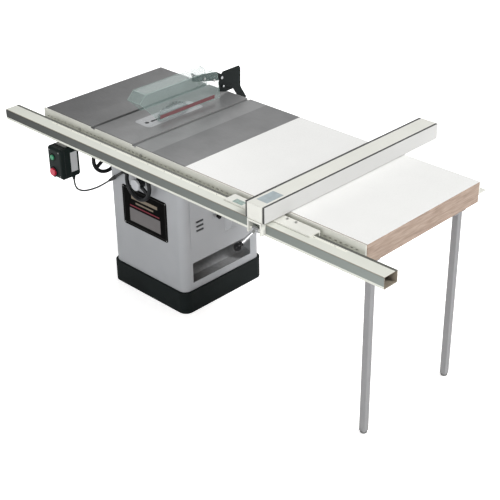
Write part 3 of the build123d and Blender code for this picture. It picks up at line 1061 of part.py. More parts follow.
# ---------------------------------------------------------------- write the parts
save("base_plinth", base_plinth())
save("cabinet_shell", cabinet_shell())
save("name_panel", name_panel())
save("dust_chute", dust_chute())
save("motor_cover", motor_cover())
save("table_main", table_main())
save("table_wings", group(table_wing(LEFT_EDGE), table_wing(MAIN_RIGHT)))
save("table_bolts", table_bolts())
save("throat_plate", throat_plate())
save("front_rail_angle", front_rail_angle())
save("rear_rail_angle", rear_rail_angle())
save("guide_tube", guide_tube())
save("extension_laminate", extension_laminate())
save("extension_frame", extension_frame())
save("extension_legs", extension_legs())
save("leg_feet", leg_feet())
save("front_trunnion_bracket", front_trunnion_bracket())
save("rear_trunnion_bracket", trunnion_bracket(REAR_TRUN_Y, 1))
save("front_trunnion", front_trunnion())
save("rear_trunnion", rear_trunnion())
save("carriage_beams", carriage_beams())
save("arm_pivot_pin", arm_pivot_pin())
save("arbor_arm", arbor_arm())
save("arbor_bearings", arbor_bearings())
save("arbor_shaft", arbor_shaft())
save("saw_blade", saw_blade())
save("arbor_nut", arbor_nut())
save("arbor_pulley", arbor_pulley())
save("motor_body", motor_body())
save("motor_pulley", motor_pulley())
save("drive_belts", drive_belts())
save("raise_handwheel", at_raise(handwheel()))
save("raise_spinner", at_raise(spinner()))
save("raise_lock_knob", at_raise(lock_button()))
save("raise_shaft", raise_shaft())
save("tilt_handwheel", at_tilt(handwheel()))
save("tilt_spinner", at_tilt(spinner()))
save("tilt_lock_knob", at_tilt(lock_button()))
save("tilt_shaft", tilt_shaft())
save("splitter_rod", splitter_rod())
save("splitter_bracket", splitter_bracket())
save("splitter_plate", splitter_plate())
save("guard_pivot_pins", guard_pivot_pins())
save("kickback_pawls", kickback_pawls())
save("guard_arms", guard_arms())
save("guard_shield", guard_shield())
save("fence_beam", fence_beam())
save("fence_caps", fence_caps())
save("fence_faces", fence_faces())
save("fence_head", fence_head())
save("fence_screws", fence_screws())
save("glide_pads", glide_pads())
save("lock_lever", lock_lever())
save("lock_knob", lock_knob())
save("switch_bracket", switch_bracket())
save("switch_box", switch_box())
save("start_button", push_button(START_Z, START_R, 6.0))
save("stop_button", push_button(STOP_Z, STOP_R, 10.0))
save("power_cord", power_cord())
save("cord_connector", cord_connector())
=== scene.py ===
from math import atan2, cos, pi, radians, sin

import bmesh
import bpy
from mathutils import Matrix, Vector


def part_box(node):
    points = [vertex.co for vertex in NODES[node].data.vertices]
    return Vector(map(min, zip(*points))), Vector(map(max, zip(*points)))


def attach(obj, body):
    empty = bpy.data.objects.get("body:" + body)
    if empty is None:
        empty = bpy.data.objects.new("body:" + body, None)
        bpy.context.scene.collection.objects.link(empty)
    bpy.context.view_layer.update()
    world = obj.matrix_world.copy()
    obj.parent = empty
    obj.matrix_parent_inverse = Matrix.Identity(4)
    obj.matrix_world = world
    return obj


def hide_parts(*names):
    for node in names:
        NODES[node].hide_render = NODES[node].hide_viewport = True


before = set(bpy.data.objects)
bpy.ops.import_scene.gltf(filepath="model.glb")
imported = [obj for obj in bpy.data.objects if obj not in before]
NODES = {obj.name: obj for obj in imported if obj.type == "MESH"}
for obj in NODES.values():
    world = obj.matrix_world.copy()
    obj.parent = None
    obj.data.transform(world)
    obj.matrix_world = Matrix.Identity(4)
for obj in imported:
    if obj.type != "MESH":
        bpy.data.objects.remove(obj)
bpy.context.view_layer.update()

SCENE = bpy.context.scene
SCENE.view_settings.view_transform = "Standard"

# camera: lens and place in the frame, and its turns in degrees
LENS = 84.02
CAMERA_AT = (3.62374, -3.23257, 2.87594)
CAMERA_YAW, CAMERA_PITCH, CAMERA_ROLL = 44.746, 29.465, -0.852

# light: strength of the world, and name, place, aim, size and power of each lamp
SKY = 0.45
LAMPS = (
    ("key", (13.0, 6.5, 15.0), (0.4, 0.0, 0.5), 7.0, 3450),
    ("fill", (4.0, -9.0, 3.2), (0.0, 0.0, 0.4), 5.0, 470),
    ("gleam", (-3.9, 3.4, 3.1), (0.05, -0.1, 0.86), 1.1, 8),
)
FLOOR_REACH, FLOOR_GLOW = 40.0, 0.60

# sockets of the colour Mix node
MIX_FACTOR, MIX_A, MIX_B, MIX_RESULT = 0, 6, 7, 2


# ---------------------------------------------------------------- camera, floor and light
def make_camera():
    """The camera of the main view."""
    data = bpy.data.cameras.new("camera")
    data.sensor_width = 36.0
    data.lens = LENS
    data.clip_end = 200.0
    cam = bpy.data.objects.new("camera", data)
    SCENE.collection.objects.link(cam)
    yaw, pitch, roll = radians(CAMERA_YAW), radians(CAMERA_PITCH), radians(CAMERA_ROLL)
    ahead = Vector((-sin(yaw) * cos(pitch), cos(yaw) * cos(pitch), -sin(pitch)))
    level = Vector((cos(yaw), sin(yaw), 0.0))
    rise = level.cross(ahead)
    right = cos(roll) * level + sin(roll) * rise
    up = -sin(roll) * level + cos(roll) * rise
    turn = Matrix((right, up, -ahead)).transposed().to_4x4()
    cam.matrix_world = Matrix.Translation(CAMERA_AT) @ turn
    SCENE.camera = cam


def background_rays(tree):
    """1 where the camera looks, straight or through something clear, and 0 elsewhere."""
    ray = tree.nodes.new("ShaderNodeLightPath")
    seen = tree.nodes.new("ShaderNodeMath")
    seen.operation = "MAXIMUM"
    link(tree, ray.outputs["Is Camera Ray"], seen.inputs[0])
    link(tree, ray.outputs["Is Transmission Ray"], seen.inputs[1])
    return seen.outputs[0]


def area_light(name, place, aim, size, power):
    """Round soft lamp that the camera does not see."""
    data = bpy.data.lights.new(name, "AREA")
    data.shape = "DISK"
    data.size = size
    data.energy = power
    lamp = bpy.data.objects.new(name, data)
    lamp.location = place
    lamp.rotation_euler = (Vector(aim) - Vector(place)).to_track_quat("-Z", "Y").to_euler()
    lamp.visible_camera = False
    SCENE.collection.objects.link(lamp)


def make_studio():
    """Plain pale floor and world, white to the camera, and three soft lamps."""
    world = bpy.data.worlds.new("studio")
    world.use_nodes = True
    SCENE.world = world
    sky = world.node_tree.nodes["Background"]
    sky.inputs["Color"].default_value = (1.0, 1.0, 1.0, 1.0)
    level = world.node_tree.nodes.new("ShaderNodeMapRange")
    level.inputs["To Min"].default_value = SKY
    level.inputs["To Max"].default_value = 1.0
    link(world.node_tree, background_rays(world.node_tree), level.inputs["Value"])
    link(world.node_tree, level.outputs["Result"], sky.inputs["Strength"])
    for lamp in LAMPS:
        area_light(*lamp)
    mesh = bpy.data.meshes.new("floor")
    s = FLOOR_REACH
    mesh.from_pydata([(-s, -s, 0), (s, -s, 0), (s, s, 0), (-s, s, 0)], [], [(0, 1, 2, 3)])
    floor = bpy.data.objects.new("floor", mesh)
    SCENE.collection.objects.link(floor)
    mat = bpy.data.materials.new("floor")
    mat.use_nodes = True
    tree = mat.node_tree
    shader = tree.nodes["Principled BSDF"]
    shader.inputs["Base Color"].default_value = (0.93, 0.93, 0.93, 1)
    shader.inputs["Roughness"].default_value = 0.9
    shader.inputs["Specular IOR Level"].default_value = 0.1
    shader.inputs["Emission Color"].default_value = (1, 1, 1, 1)
    glow = tree.nodes.new("ShaderNodeMath")
    glow.operation = "MULTIPLY"
    glow.inputs[1].default_value = FLOOR_GLOW
    link(tree, background_rays(tree), glow.inputs[0])
    link(tree, glow.outputs[0], shader.inputs["Emission Strength"])
    mesh.materials.append(mat)


# ---------------------------------------------------------------- materials
def link(tree, a, b):
    """Joins an output to an input."""
    tree.links.new(a, b)


def swept(tree, where, paint, light_sweep):
    """Scales a colour along X, from gain0 at x0 to gain1 at x1: painted light, lighter at one end and darker
    at the other.
    """
    x0, x1, gain0, gain1 = light_sweep
    axes = tree.nodes.new("ShaderNodeSeparateXYZ")
    link(tree, where.outputs["Object"], axes.inputs["Vector"])
    gain = tree.nodes.new("ShaderNodeMapRange")
    gain.inputs["From Min"].default_value = x0
    gain.inputs["From Max"].default_value = x1
    gain.inputs["To Min"].default_value = gain0
    gain.inputs["To Max"].default_value = gain1
    link(tree, axes.outputs["X"], gain.inputs["Value"])
    scaled = tree.nodes.new("ShaderNodeVectorMath")
    scaled.operation = "SCALE"
    link(tree, paint, scaled.inputs[0])
    link(tree, gain.outputs["Result"], scaled.inputs["Scale"])
    return scaled.outputs["Vector"]


def shade_strip(mat, y_range, z_range, color, light_sweep=None):
    """Recolours what lies in a straight strip along X. A sweep, when given, scales its colour along the
    strip: painted shade, darker toward one end.
    """
    tree = mat.node_tree
    shader = tree.nodes["Principled BSDF"]
    paint = shader.inputs["Base Color"].links[0].from_socket
    where = tree.nodes.new("ShaderNodeTexCoord")
    axes = tree.nodes.new("ShaderNodeSeparateXYZ")
    link(tree, where.outputs["Object"], axes.inputs["Vector"])
    within = []
    for axis, (a, b) in (("Y", y_range), ("Z", z_range)):
        near = tree.nodes.new("ShaderNodeMath")
        near.operation = "COMPARE"
        near.inputs[1].default_value = (a + b) / 2
        near.inputs[2].default_value = (b - a) / 2
        link(tree, axes.outputs[axis], near.inputs[0])
        within.append(near.outputs[0])
    both = tree.nodes.new("ShaderNodeMath")
    both.operation = "MULTIPLY"
    link(tree, within[0], both.inputs[0])
    link(tree, within[1], both.inputs[1])
    mix = tree.nodes.new("ShaderNodeMix")
    mix.data_type = "RGBA"
    mix.inputs[MIX_B].default_value = (*color, 1.0)
    link(tree, both.outputs[0], mix.inputs[MIX_FACTOR])
    if light_sweep:
        shade = tree.nodes.new("ShaderNodeRGB")
        shade.outputs[0].default_value = (*color, 1.0)
        link(tree, swept(tree, where, shade.outputs[0], light_sweep), mix.inputs[MIX_B])
    link(tree, paint, mix.inputs[MIX_A])
    link(tree, mix.outputs[MIX_RESULT], shader.inputs["Base Color"])


def noise(tree, where, detail, scale=1.0, stretch=None):
    """Noise over the object's own coordinates, which stretch scales along each axis."""
    spot = where.outputs["Object"]
    if stretch:
        mapping = tree.nodes.new("ShaderNodeMapping")
        mapping.inputs["Scale"].default_value = stretch
        link(tree, spot, mapping.inputs["Vector"])
        spot = mapping.outputs["Vector"]
    texture = tree.nodes.new("ShaderNodeTexNoise")
    texture.inputs["Scale"].default_value = scale
    texture.inputs["Detail"].default_value = detail
    link(tree, spot, texture.inputs["Vector"])
    return texture


def two_tone(tree, factor, stops):
    """Colour ramp with two stops, each a position and a colour."""
    ramp = tree.nodes.new("ShaderNodeValToRGB")
    for element, (position, color) in zip(ramp.color_ramp.elements, stops):
        element.position = position
        element.color = (*color, 1)
    link(tree, factor, ramp.inputs["Fac"])
    return ramp.outputs["Color"]


def drifting_paint(tree, where, color, tint, tint_scale):
    """One colour that drifts a little darker and lighter."""
    low = [c * (1 - tint) for c in color]
    high = [min(1.0, c * (1 + tint)) for c in color]
    drift = noise(tree, where, 5.0, tint_scale)
    return two_tone(tree, drift.outputs["Fac"], ((0.3, low), (0.7, high)))


def plywood_paint(tree, where):
    """Pale wood with long stretched grain and a few darker knots."""
    grain = noise(tree, where, 8.0, stretch=(14, 14, 160))
    grain.inputs["Distortion"].default_value = 0.6
    wood = two_tone(tree, grain.outputs["Fac"], ((0.28, (0.23, 0.160, 0.120)), (0.66, (0.38, 0.29, 0.23))))
    knots = tree.nodes.new("ShaderNodeTexVoronoi")
    knots.inputs["Scale"].default_value = 5.5
    link(tree, where.outputs["Object"], knots.inputs["Vector"])
    spot = tree.nodes.new("ShaderNodeMapRange")
    spot.inputs["From Min"].default_value = 0.02
    spot.inputs["From Max"].default_value = 0.07
    spot.inputs["To Min"].default_value = 0.45
    spot.inputs["To Max"].default_value = 0.0
    link(tree, knots.outputs["Distance"], spot.inputs["Value"])
    mix = tree.nodes.new("ShaderNodeMix")
    mix.data_type = "RGBA"
    mix.inputs[MIX_B].default_value = (0.24, 0.13, 0.08, 1)
    link(tree, spot.outputs["Result"], mix.inputs[MIX_FACTOR])
    link(tree, wood, mix.inputs[MIX_A])
    return mix.outputs[MIX_RESULT]


def surface(name, color, rough, metal=0.0, tint=0.06, tint_scale=9.0, grain=(260, 260, 260), bump=0.12,
            rough_spread=0.06, coat=0.0, specular=0.5, edge=0.0012, alpha=1.0, light_sweep=None):
    """Principled material with a fine grain in bump and roughness, and rounded edges.

    color is a colour, which then drifts by tint, or a function that paints.
    The sweep (x0, x1, gain0, gain1) scales the colour along the part, painting light into it: lighter at one
    end, darker at the other.
    """
    mat = bpy.data.materials.new(name)
    mat.use_nodes = True
    tree = mat.node_tree
    shader = tree.nodes["Principled BSDF"]
    shader.inputs["Metallic"].default_value = metal
    shader.inputs["Coat Weight"].default_value = coat
    shader.inputs["Coat Roughness"].default_value = 0.12
    shader.inputs["Specular IOR Level"].default_value = specular
    shader.inputs["Alpha"].default_value = alpha
    where = tree.nodes.new("ShaderNodeTexCoord")
    if callable(color):
        paint = color(tree, where)
    else:
        paint = drifting_paint(tree, where, color, tint, tint_scale)
    if light_sweep:
        paint = swept(tree, where, paint, light_sweep)
    link(tree, paint, shader.inputs["Base Color"])

    fine = noise(tree, where, 6.0, stretch=grain)
    spread = tree.nodes.new("ShaderNodeMapRange")
    spread.inputs["From Min"].default_value = 0.3
    spread.inputs["From Max"].default_value = 0.7
    spread.inputs["To Min"].default_value = max(0.02, rough - rough_spread)
    spread.inputs["To Max"].default_value = min(1.0, rough + rough_spread)
    link(tree, fine.outputs["Fac"], spread.inputs["Value"])
    link(tree, spread.outputs["Result"], shader.inputs["Roughness"])
    relief = tree.nodes.new("ShaderNodeBump")
    relief.inputs["Strength"].default_value = bump
    relief.inputs["Distance"].default_value = 0.0006
    link(tree, fine.outputs["Fac"], relief.inputs["Height"])
    if edge:
        soft = tree.nodes.new("ShaderNodeBevel")
        soft.samples = 4
        soft.inputs["Radius"].default_value = edge
        link(tree, soft.outputs["Normal"], relief.inputs["Normal"])
    link(tree, relief.outputs["Normal"], shader.inputs["Normal"])
    return mat


SURFACES = {
    # key: material name, colour, roughness and what departs from the usual
    "base": ("base_paint", (0.007, 0.010, 0.010), 0.5, dict(tint=0.2, bump=0.25, grain=(500, 500, 500),
        specular=0.10)),
    "cabinet": ("cabinet_paint", (0.34, 0.35, 0.365), 0.38, dict(tint=0.03, bump=0.10,
        grain=(420, 420, 420), coat=0.15)),
    "panel": ("panel_face", (0.003, 0.003, 0.003), 0.7, dict(bump=0.03, specular=0.03)),
    "galvanised": ("galvanised_sheet", (0.50, 0.51, 0.52), 0.5, dict(metal=0.4, tint=0.12, tint_scale=60)),
    # both sweeps paint light into the iron's colour: darker at the left and lighter to the right, for the
    # shade and reflections across the top
    "cast_top": ("ground_iron", (0.150, 0.151, 0.152), 0.38, dict(metal=0.25, tint=0.10, tint_scale=7,
        grain=(30, 900, 900), bump=0.10, rough_spread=0.08, light_sweep=(-0.25, 0.25, 0.80, 1.65))),
    "cast_wing": ("ground_iron_wing", (0.150, 0.151, 0.152), 0.40, dict(metal=0.25, tint=0.10, tint_scale=7,
        grain=(30, 900, 900), bump=0.10, rough_spread=0.08, light_sweep=(-0.46, 0.45, 0.62, 1.36))),
    "casting": ("painted_casting", (0.11, 0.12, 0.125), 0.6, dict(tint=0.15, grain=(240, 240, 240),
        bump=0.8)),
    "zinc": ("zinc_plate", (0.45, 0.45, 0.44), 0.35, dict(metal=0.9, tint=0.1, edge=0.0005)),
    "cream": ("cream_paint", (0.68, 0.68, 0.63), 0.36, dict(tint=0.03, bump=0.12, grain=(380, 380, 380),
        coat=0.2)),
    "tube": ("tube_paint", (0.62, 0.63, 0.57), 0.36, dict(tint=0.03, bump=0.12, grain=(380, 380, 380))),
    "insert": ("insert_aluminium", (0.42, 0.43, 0.44), 0.38, dict(metal=0.7, grain=(900, 40, 900))),
    "laminate": ("white_laminate", (0.76, 0.76, 0.745), 0.3, dict(tint=0.012, bump=0.05,
        grain=(700, 700, 700))),
    "plywood": ("plywood", plywood_paint, 0.62, dict(grain=(60, 18, 420), bump=0.3)),
    "leg": ("leg_paint", (0.22, 0.22, 0.225), 0.4, dict(tint=0.03, coat=0.1)),
    "rubber": ("black_rubber", (0.02, 0.02, 0.02), 0.75, dict(tint=0.2, bump=0.35)),
    "foot": ("grey_foot", (0.13, 0.13, 0.13), 0.6, dict(tint=0.1, bump=0.2)),
    "steel": ("machined_steel", (0.50, 0.51, 0.52), 0.28, dict(metal=0.95, grain=(40, 800, 800),
        edge=0.0005)),
    "blade": ("blade_steel", (0.62, 0.63, 0.64), 0.24, dict(metal=0.95, grain=(900, 120, 120),
        edge=0.0003)),
    "motor": ("motor_paint", (0.03, 0.034, 0.04), 0.5, dict(tint=0.15, bump=0.4)),
    "wheel": ("wheel_enamel", (0.008, 0.009, 0.010), 0.40, dict(tint=0.15, bump=0.3, coat=0.05,
        specular=0.2)),
    "handle": ("black_phenolic", (0.008, 0.008, 0.009), 0.26, dict(tint=0.1, bump=0.05, specular=0.10)),
    "knob": ("grey_knob", (0.43, 0.44, 0.46), 0.4, dict(tint=0.04, bump=0.08)),
    "splitter": ("black_oxide", (0.009, 0.012, 0.012), 0.5, dict(tint=0.15, bump=0.2, specular=0.12)),
    "cap": ("black_cap", (0.02, 0.02, 0.02), 0.5, dict(bump=0.2)),
    "face": ("face_laminate", (0.52, 0.52, 0.51), 0.42, dict(tint=0.02, bump=0.06)),
    "nylon": ("nylon", (0.7, 0.7, 0.66), 0.5, dict(bump=0.1)),
    "switch": ("switch_plastic", (0.008, 0.014, 0.013), 0.42, dict(tint=0.1, bump=0.25,
        grain=(900, 900, 900), specular=0.15)),
    "green": ("green_button", (0.02, 0.24, 0.11), 0.3, dict(tint=0.05, bump=0.03, coat=0.4)),
    "red": ("red_button", (0.50, 0.02, 0.05), 0.3, dict(tint=0.05, bump=0.03, coat=0.4)),
    "stripe": ("red_stripe", (0.17, 0.004, 0.018), 0.35, dict(tint=0.05, bump=0.02)),
    "ink": ("black_ink", (0.02, 0.02, 0.02), 0.5, dict(tint=0.05, bump=0.0, edge=0)),
    "tape": ("scale_tape", (0.74, 0.74, 0.66), 0.35, dict(tint=0.02, bump=0.03, edge=0)),
    "label": ("pale_label", (0.125, 0.117, 0.117), 0.5, dict(tint=0.04, bump=0.03, edge=0)),
    "cord": ("cord_sheath", (0.035, 0.037, 0.037), 0.55, dict(tint=0.1, bump=0.3, edge=0)),
    "clear": ("clear_guard", (0.28, 0.37, 0.35), 0.08, dict(tint=0.02, bump=0.02, alpha=0.19, specular=0.5,
        edge=0.0008, rough_spread=0.03)),
    # clear_rim: paler and less clear than the guard's sheet, a painted sheen on the guard's edges; the cursor
    # leaf wears it too
    "rim": ("clear_rim", (0.42, 0.54, 0.50), 0.12, dict(tint=0.02, bump=0.02, alpha=0.6, edge=0)),
    # vent_shadow: the near black that the louvre hoods wear, painted shade for the dark slots of the louvres
    "vent": ("vent_shadow", (0.05, 0.052, 0.055), 0.6, dict(tint=0.1, bump=0.05, edge=0)),
    "dim_line": ("dim_line", (0.04, 0.04, 0.04), 0.6, dict(tint=0.05, bump=0.02, edge=0, specular=0.1)),
    "pale_gold": ("pale_gold", (0.17, 0.14, 0.10), 0.5, dict(tint=0.05, bump=0.02, edge=0)),
    "side_strip": ("side_strip", (0.50, 0.51, 0.52), 0.35, dict(tint=0.05, bump=0.05, edge=0)),
    "carbide": ("carbide", (0.30, 0.30, 0.31), 0.35, dict(metal=0.8, tint=0.1, edge=0)),
    "board_edge": ("board_edge", (0.045, 0.045, 0.043), 0.5, dict(tint=0.2, grain=(300, 20, 900), bump=0.2,
        edge=0)),
    "blue_plate": ("blue_plate", (0.33, 0.38, 0.40), 0.35, dict(tint=0.12, tint_scale=40, bump=0.03,
        edge=0)),
}


def shade_tube(mat):
    """Brown bore, a band of painted shade along the tube's front face, darker toward its left end, and a thin
    line of painted shade along the back of its top.
    """
    (_, y0, z0), (_, y1, z1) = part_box("guide_tube")
    skin = 0.001
    shade_band_low, shade_band_high, shade_line_width = 0.013, 0.002, 0.017
    shade_strip(mat, (y0 + skin, y1 - skin), (z0 + skin, z1 - skin), (0.24, 0.21, 0.165))
    # painted shade: the front face drawn dark, darkest at the left end and lighter toward the right
    shade_strip(mat, (y0 - skin, y0 + skin), (z0 + shade_band_low, z1 - shade_band_high), (0.085, 0.095, 0.088),
                (-0.6, 1.55, 0.15, 2.5))
    # painted shade: a thin dark line over the back of the top and the top of the back face
    shade_strip(mat, (y1 - shade_line_width, y1 + skin), (z1 - 0.004, z1 + skin), (0.085, 0.088, 0.075))


def make_materials():
    """All materials by key."""
    m = {key: surface(name, color, rough, **extra) for key, (name, color, rough, extra) in SURFACES.items()}
    shade_tube(m["tube"])
    return m


# which material each node of the model wears
MATERIAL_OF = {
    "base_plinth": "base", "cabinet_shell": "cabinet", "name_panel": "panel", "dust_chute": "galvanised",
    "motor_cover": "cabinet", "table_main": "cast_top", "table_wings": "cast_wing", "table_bolts": "zinc",
    "throat_plate": "insert", "front_rail_angle": "cream", "rear_rail_angle": "cream", "guide_tube": "tube",
    "extension_laminate": "laminate", "extension_frame": "plywood", "extension_legs": "leg",
    "leg_feet": "foot", "front_trunnion_bracket": "casting", "rear_trunnion_bracket": "casting",
    "front_trunnion": "casting", "rear_trunnion": "casting", "carriage_beams": "casting",
    "arm_pivot_pin": "steel", "arbor_arm": "casting", "arbor_bearings": "steel", "arbor_shaft": "steel",
    "saw_blade": "blade", "arbor_nut": "steel", "arbor_pulley": "steel", "motor_body": "motor",
    "motor_pulley": "steel", "drive_belts": "rubber", "raise_handwheel": "wheel", "raise_spinner": "handle",
    "raise_lock_knob": "knob", "raise_shaft": "steel", "tilt_handwheel": "wheel", "tilt_spinner": "handle",
    "tilt_lock_knob": "knob", "tilt_shaft": "steel", "splitter_rod": "steel", "splitter_bracket": "splitter",
    "splitter_plate": "splitter", "guard_pivot_pins": "steel", "kickback_pawls": "splitter",
    "guard_arms": "splitter", "guard_shield": "clear", "fence_beam": "cream", "fence_caps": "cream",
    "fence_faces": "face", "fence_head": "cream", "fence_screws": "zinc", "glide_pads": "nylon",
    "lock_lever": "steel", "lock_knob": "handle", "switch_bracket": "zinc", "switch_box": "switch",
    "start_button": "green", "stop_button": "red", "power_cord": "cord", "cord_connector": "cap",
}


def dress_nodes(m):
    """Gives every node its material."""
    for name, key in MATERIAL_OF.items():
        data = NODES[name].data
        data.materials.clear()
        data.materials.append(m[key])


# ---------------------------------------------------------------- piece helpers
def piece(name, bm, material, body):
    """Turns a bmesh into a named piece that rides on a body of the model."""
    mesh = bpy.data.meshes.new(name)
    bmesh.ops.recalc_face_normals(bm, faces=bm.faces)
    bm.to_mesh(mesh)
    bm.free()
    mesh.materials.append(material)
    obj = bpy.data.objects.new(name, mesh)
    SCENE.collection.objects.link(obj)
    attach(obj, body)


def turned(axis):
    """Turn that takes Z to an axis."""
    return Vector((0, 0, 1)).rotation_difference(Vector(axis)).to_matrix()


def circle(sides, radius):
    """Points of a circle around the origin."""
    angles = [2 * pi * i / sides for i in range(sides)]
    return [(radius * cos(a), radius * sin(a)) for a in angles]


def join_rings(bm, rings):
    """Faces between each ring and the next one."""
    for low, high in zip(rings, rings[1:]):
        for i in range(len(low)):
            j = (i + 1) % len(low)
            bm.faces.new((low[i], low[j], high[j], high[i]))


def add_prism(bm, low, high):
    """Closed body between two outlines."""
    low, high = [bm.verts.new(c) for c in low], [bm.verts.new(c) for c in high]
    bm.faces.new(high)
    bm.faces.new(reversed(low))
    join_rings(bm, [low, high])


def add_block(bm, lo, hi, bevel=0.0004):
    """Bevelled box between two corners."""
    verts = bmesh.ops.create_cube(bm, size=1.0)["verts"]
    for v in verts:
        v.co = Vector([lo[i] + (v.co[i] + 0.5) * (hi[i] - lo[i]) for i in range(3)])
    if bevel:
        edges = {e for v in verts for e in v.link_edges}
        bmesh.ops.bevel(bm, geom=list(edges), offset=bevel, segments=2, affect="EDGES")


def turned_rings(bm, profile, place, axis, sides):
    """Rings of a turned body from (radius, height) points, standing on place and rising along axis."""
    turn, place = turned(axis), Vector(place)
    return [[bm.verts.new(place + turn @ Vector((x, y, h))) for x, y in circle(sides, r)] for r, h in profile]


def add_lathe(bm, profile, place, axis, sides):
    """Closed turned body."""
    rings = turned_rings(bm, profile, place, axis, sides)
    join_rings(bm, rings)
    bm.faces.new(reversed(rings[0]))
    bm.faces.new(rings[-1])


def add_ring(bm, r_in, r_out, height, place, axis, sides=40, bevel=0.0004):
    """Flat ring with softened corners."""
    b = bevel
    profile = [(r_in, 0), (r_out, 0), (r_out, height - b), (r_out - b, height), (r_in + b, height),
               (r_in, height - b)]
    rings = turned_rings(bm, profile, place, axis, sides)
    join_rings(bm, rings + rings[:1])


def add_rod(bm, points, radius, sides):
    """Round bar through a list of points. Each ring is paired with the nearest corners of the next."""
    points = [Vector(p) for p in points]
    rings = []
    for i, p in enumerate(points):
        ahead = (points[min(i + 1, len(points) - 1)] - points[max(i - 1, 0)]).normalized()
        side = ahead.orthogonal().normalized()
        other = ahead.cross(side)
        rings.append([bm.verts.new(p + x * side + y * other) for x, y in circle(sides, radius)])
    for low, high in zip(rings, rings[1:]):
        shift = min(range(sides), key=lambda n: (low[0].co - high[n].co).length)
        for k in range(sides):
            n = (k + 1) % sides
            bm.faces.new((low[k], low[n], high[(n + shift) % sides], high[(k + shift) % sides]))
    bm.faces.new(reversed(rings[0]))
    bm.faces.new(rings[-1])


def add_screw(bm, place, axis, radius, height):
    """Domed screw head."""
    dome = ((1, 0), (1, 0.35), (0.86, 0.72), (0.55, 0.95), (0.2, 1))
    add_lathe(bm, [(r * radius, h * height) for r, h in dome], place, axis, 20)


def cross_marks(bm, place, axis, radius, lift):
    """Dark cross on top of a screw head."""
    turn, place = turned(axis), Vector(place)
    long, thin = 0.55 * radius, 0.14 * radius
    for a, b in ((long, thin), (thin, long)):
        corners = [(-a, -b), (a, -b), (a, b), (-a, b)]
        low, high = ([place + turn @ Vector((x, y, lift + z)) for x, y in corners] for z in (-0.0004, 0.0001))
        add_prism(bm, low, high)


def screw_set(names, m, body, places, axis, radius, height):
    """Screws of one size on one body, as a piece of heads and a piece of crosses."""
    heads, marks = bmesh.new(), bmesh.new()
    for place in places:
        add_screw(heads, place, axis, radius, height)
        cross_marks(marks, place, axis, radius, height)
    piece(names[0], heads, m["zinc"], body)
    piece(names[1], marks, m["ink"], body)


def add_number(bm, text, size, place, across, up, lift):
    """Plain number as thin raised mesh, centred on place."""
    font = bpy.data.curves.new("figure", "FONT")
    font.body = text
    font.size = size
    font.align_x = "CENTER"
    font.align_y = "CENTER"
    font.extrude = lift / 2
    font.resolution_u = 3
    holder = bpy.data.objects.new("figure", font)
    SCENE.collection.objects.link(holder)
    bpy.context.view_layer.update()
    mesh = bpy.data.meshes.new_from_object(holder.evaluated_get(bpy.context.evaluated_depsgraph_get()))
    across, up = Vector(across).normalized(), Vector(up).normalized()
    turn = Matrix((across, up, across.cross(up))).transposed().to_4x4()
    mesh.transform(Matrix.Translation(Vector(place)) @ turn)
    bm.from_mesh(mesh)
    bpy.data.objects.remove(holder)
    bpy.data.curves.remove(font)
    bpy.data.meshes.remove(mesh)


# ---------------------------------------------------------------- cord
def make_cord(m):
    """Cord from the switch box down and back to the grip on the cabinet."""
    route = (
        (-0.266, -0.425, 0.583), (-0.266, -0.425, 0.540), (-0.263, -0.388, 0.509),
        (-0.256, -0.335, 0.502), (-0.2459, -0.2886, 0.5082), (-0.2148, -0.2679, 0.5351),
    )
    data = bpy.data.curves.new("switch_cord", "CURVE")
    data.dimensions = "3D"
    data.bevel_depth = 0.004
    data.bevel_resolution = 5
    data.resolution_u = 24
    line = data.splines.new("NURBS")
    line.points.add(len(route) - 1)
    for point, co in zip(line.points, route):
        point.co = (*co, 1.0)
    line.order_u = 3
    line.use_endpoint_u = True
    data.materials.append(m["cord"])
    cord = bpy.data.objects.new("switch_cord", data)
    SCENE.collection.objects.link(cord)
    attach(cord, "stand")
    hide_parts("power_cord")


# ---------------------------------------------------------------- cabinet details
def cabinet_details(m):
    """Name panel without words: a thin border, two plain bars, a red bar, a pale field and four screws."""
    lo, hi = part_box("name_panel")
    y, middle = lo[1], (lo[0] + hi[0]) / 2
    sunk, proud, border_proud = 0.0002, 0.0006, 0.0004
    inset, w = 0.010, 0.0016
    x0, x1, z0, z1 = lo[0] + inset, hi[0] - inset, lo[2] + inset, hi[2] - inset

    def plates(name, rows, bevel, material):
        """Thin plates centred on the panel, each row a half width and its lower and upper edge."""
        bm = bmesh.new()
        for half, low, high in rows:
            add_block(bm, (middle - half, y - proud, low), (middle + half, y + sunk, high), bevel)
        piece(name, bm, m[material], "stand")

    bm = bmesh.new()
    strips = (
        ((x0, z0), (x1, z0 + w)), ((x0, z1 - w), (x1, z1)),
        ((x0, z0), (x0 + w, z1)), ((x1 - w, z0), (x1, z1)),
    )
    for a, b in strips:
        add_block(bm, (a[0], y - border_proud, a[1]), (b[0], y + sunk, b[1]), 0.0001)
    piece("panel_border", bm, m["dim_line"], "stand")
    plates("panel_bars", ((0.088, z1 - 0.046, z1 - 0.030), (0.060, z1 - 0.066, z1 - 0.058)), 0.0002,
           "pale_gold")
    plates("panel_red_bar", ((0.100, z0 + 0.096, z0 + 0.102),), 0.0002, "stripe")
    plates("panel_field", ((0.104, z0 + 0.018, z0 + 0.086),), 0.0003, "label")
    corner = 0.0085
    places = [(x, y, z) for x in (lo[0] + corner, hi[0] - corner) for z in (lo[2] + corner, hi[2] - corner)]
    screw_set(("panel_rivets", "panel_rivet_marks"), m, "stand", places, (0, -1, 0), 0.003, 0.0014)


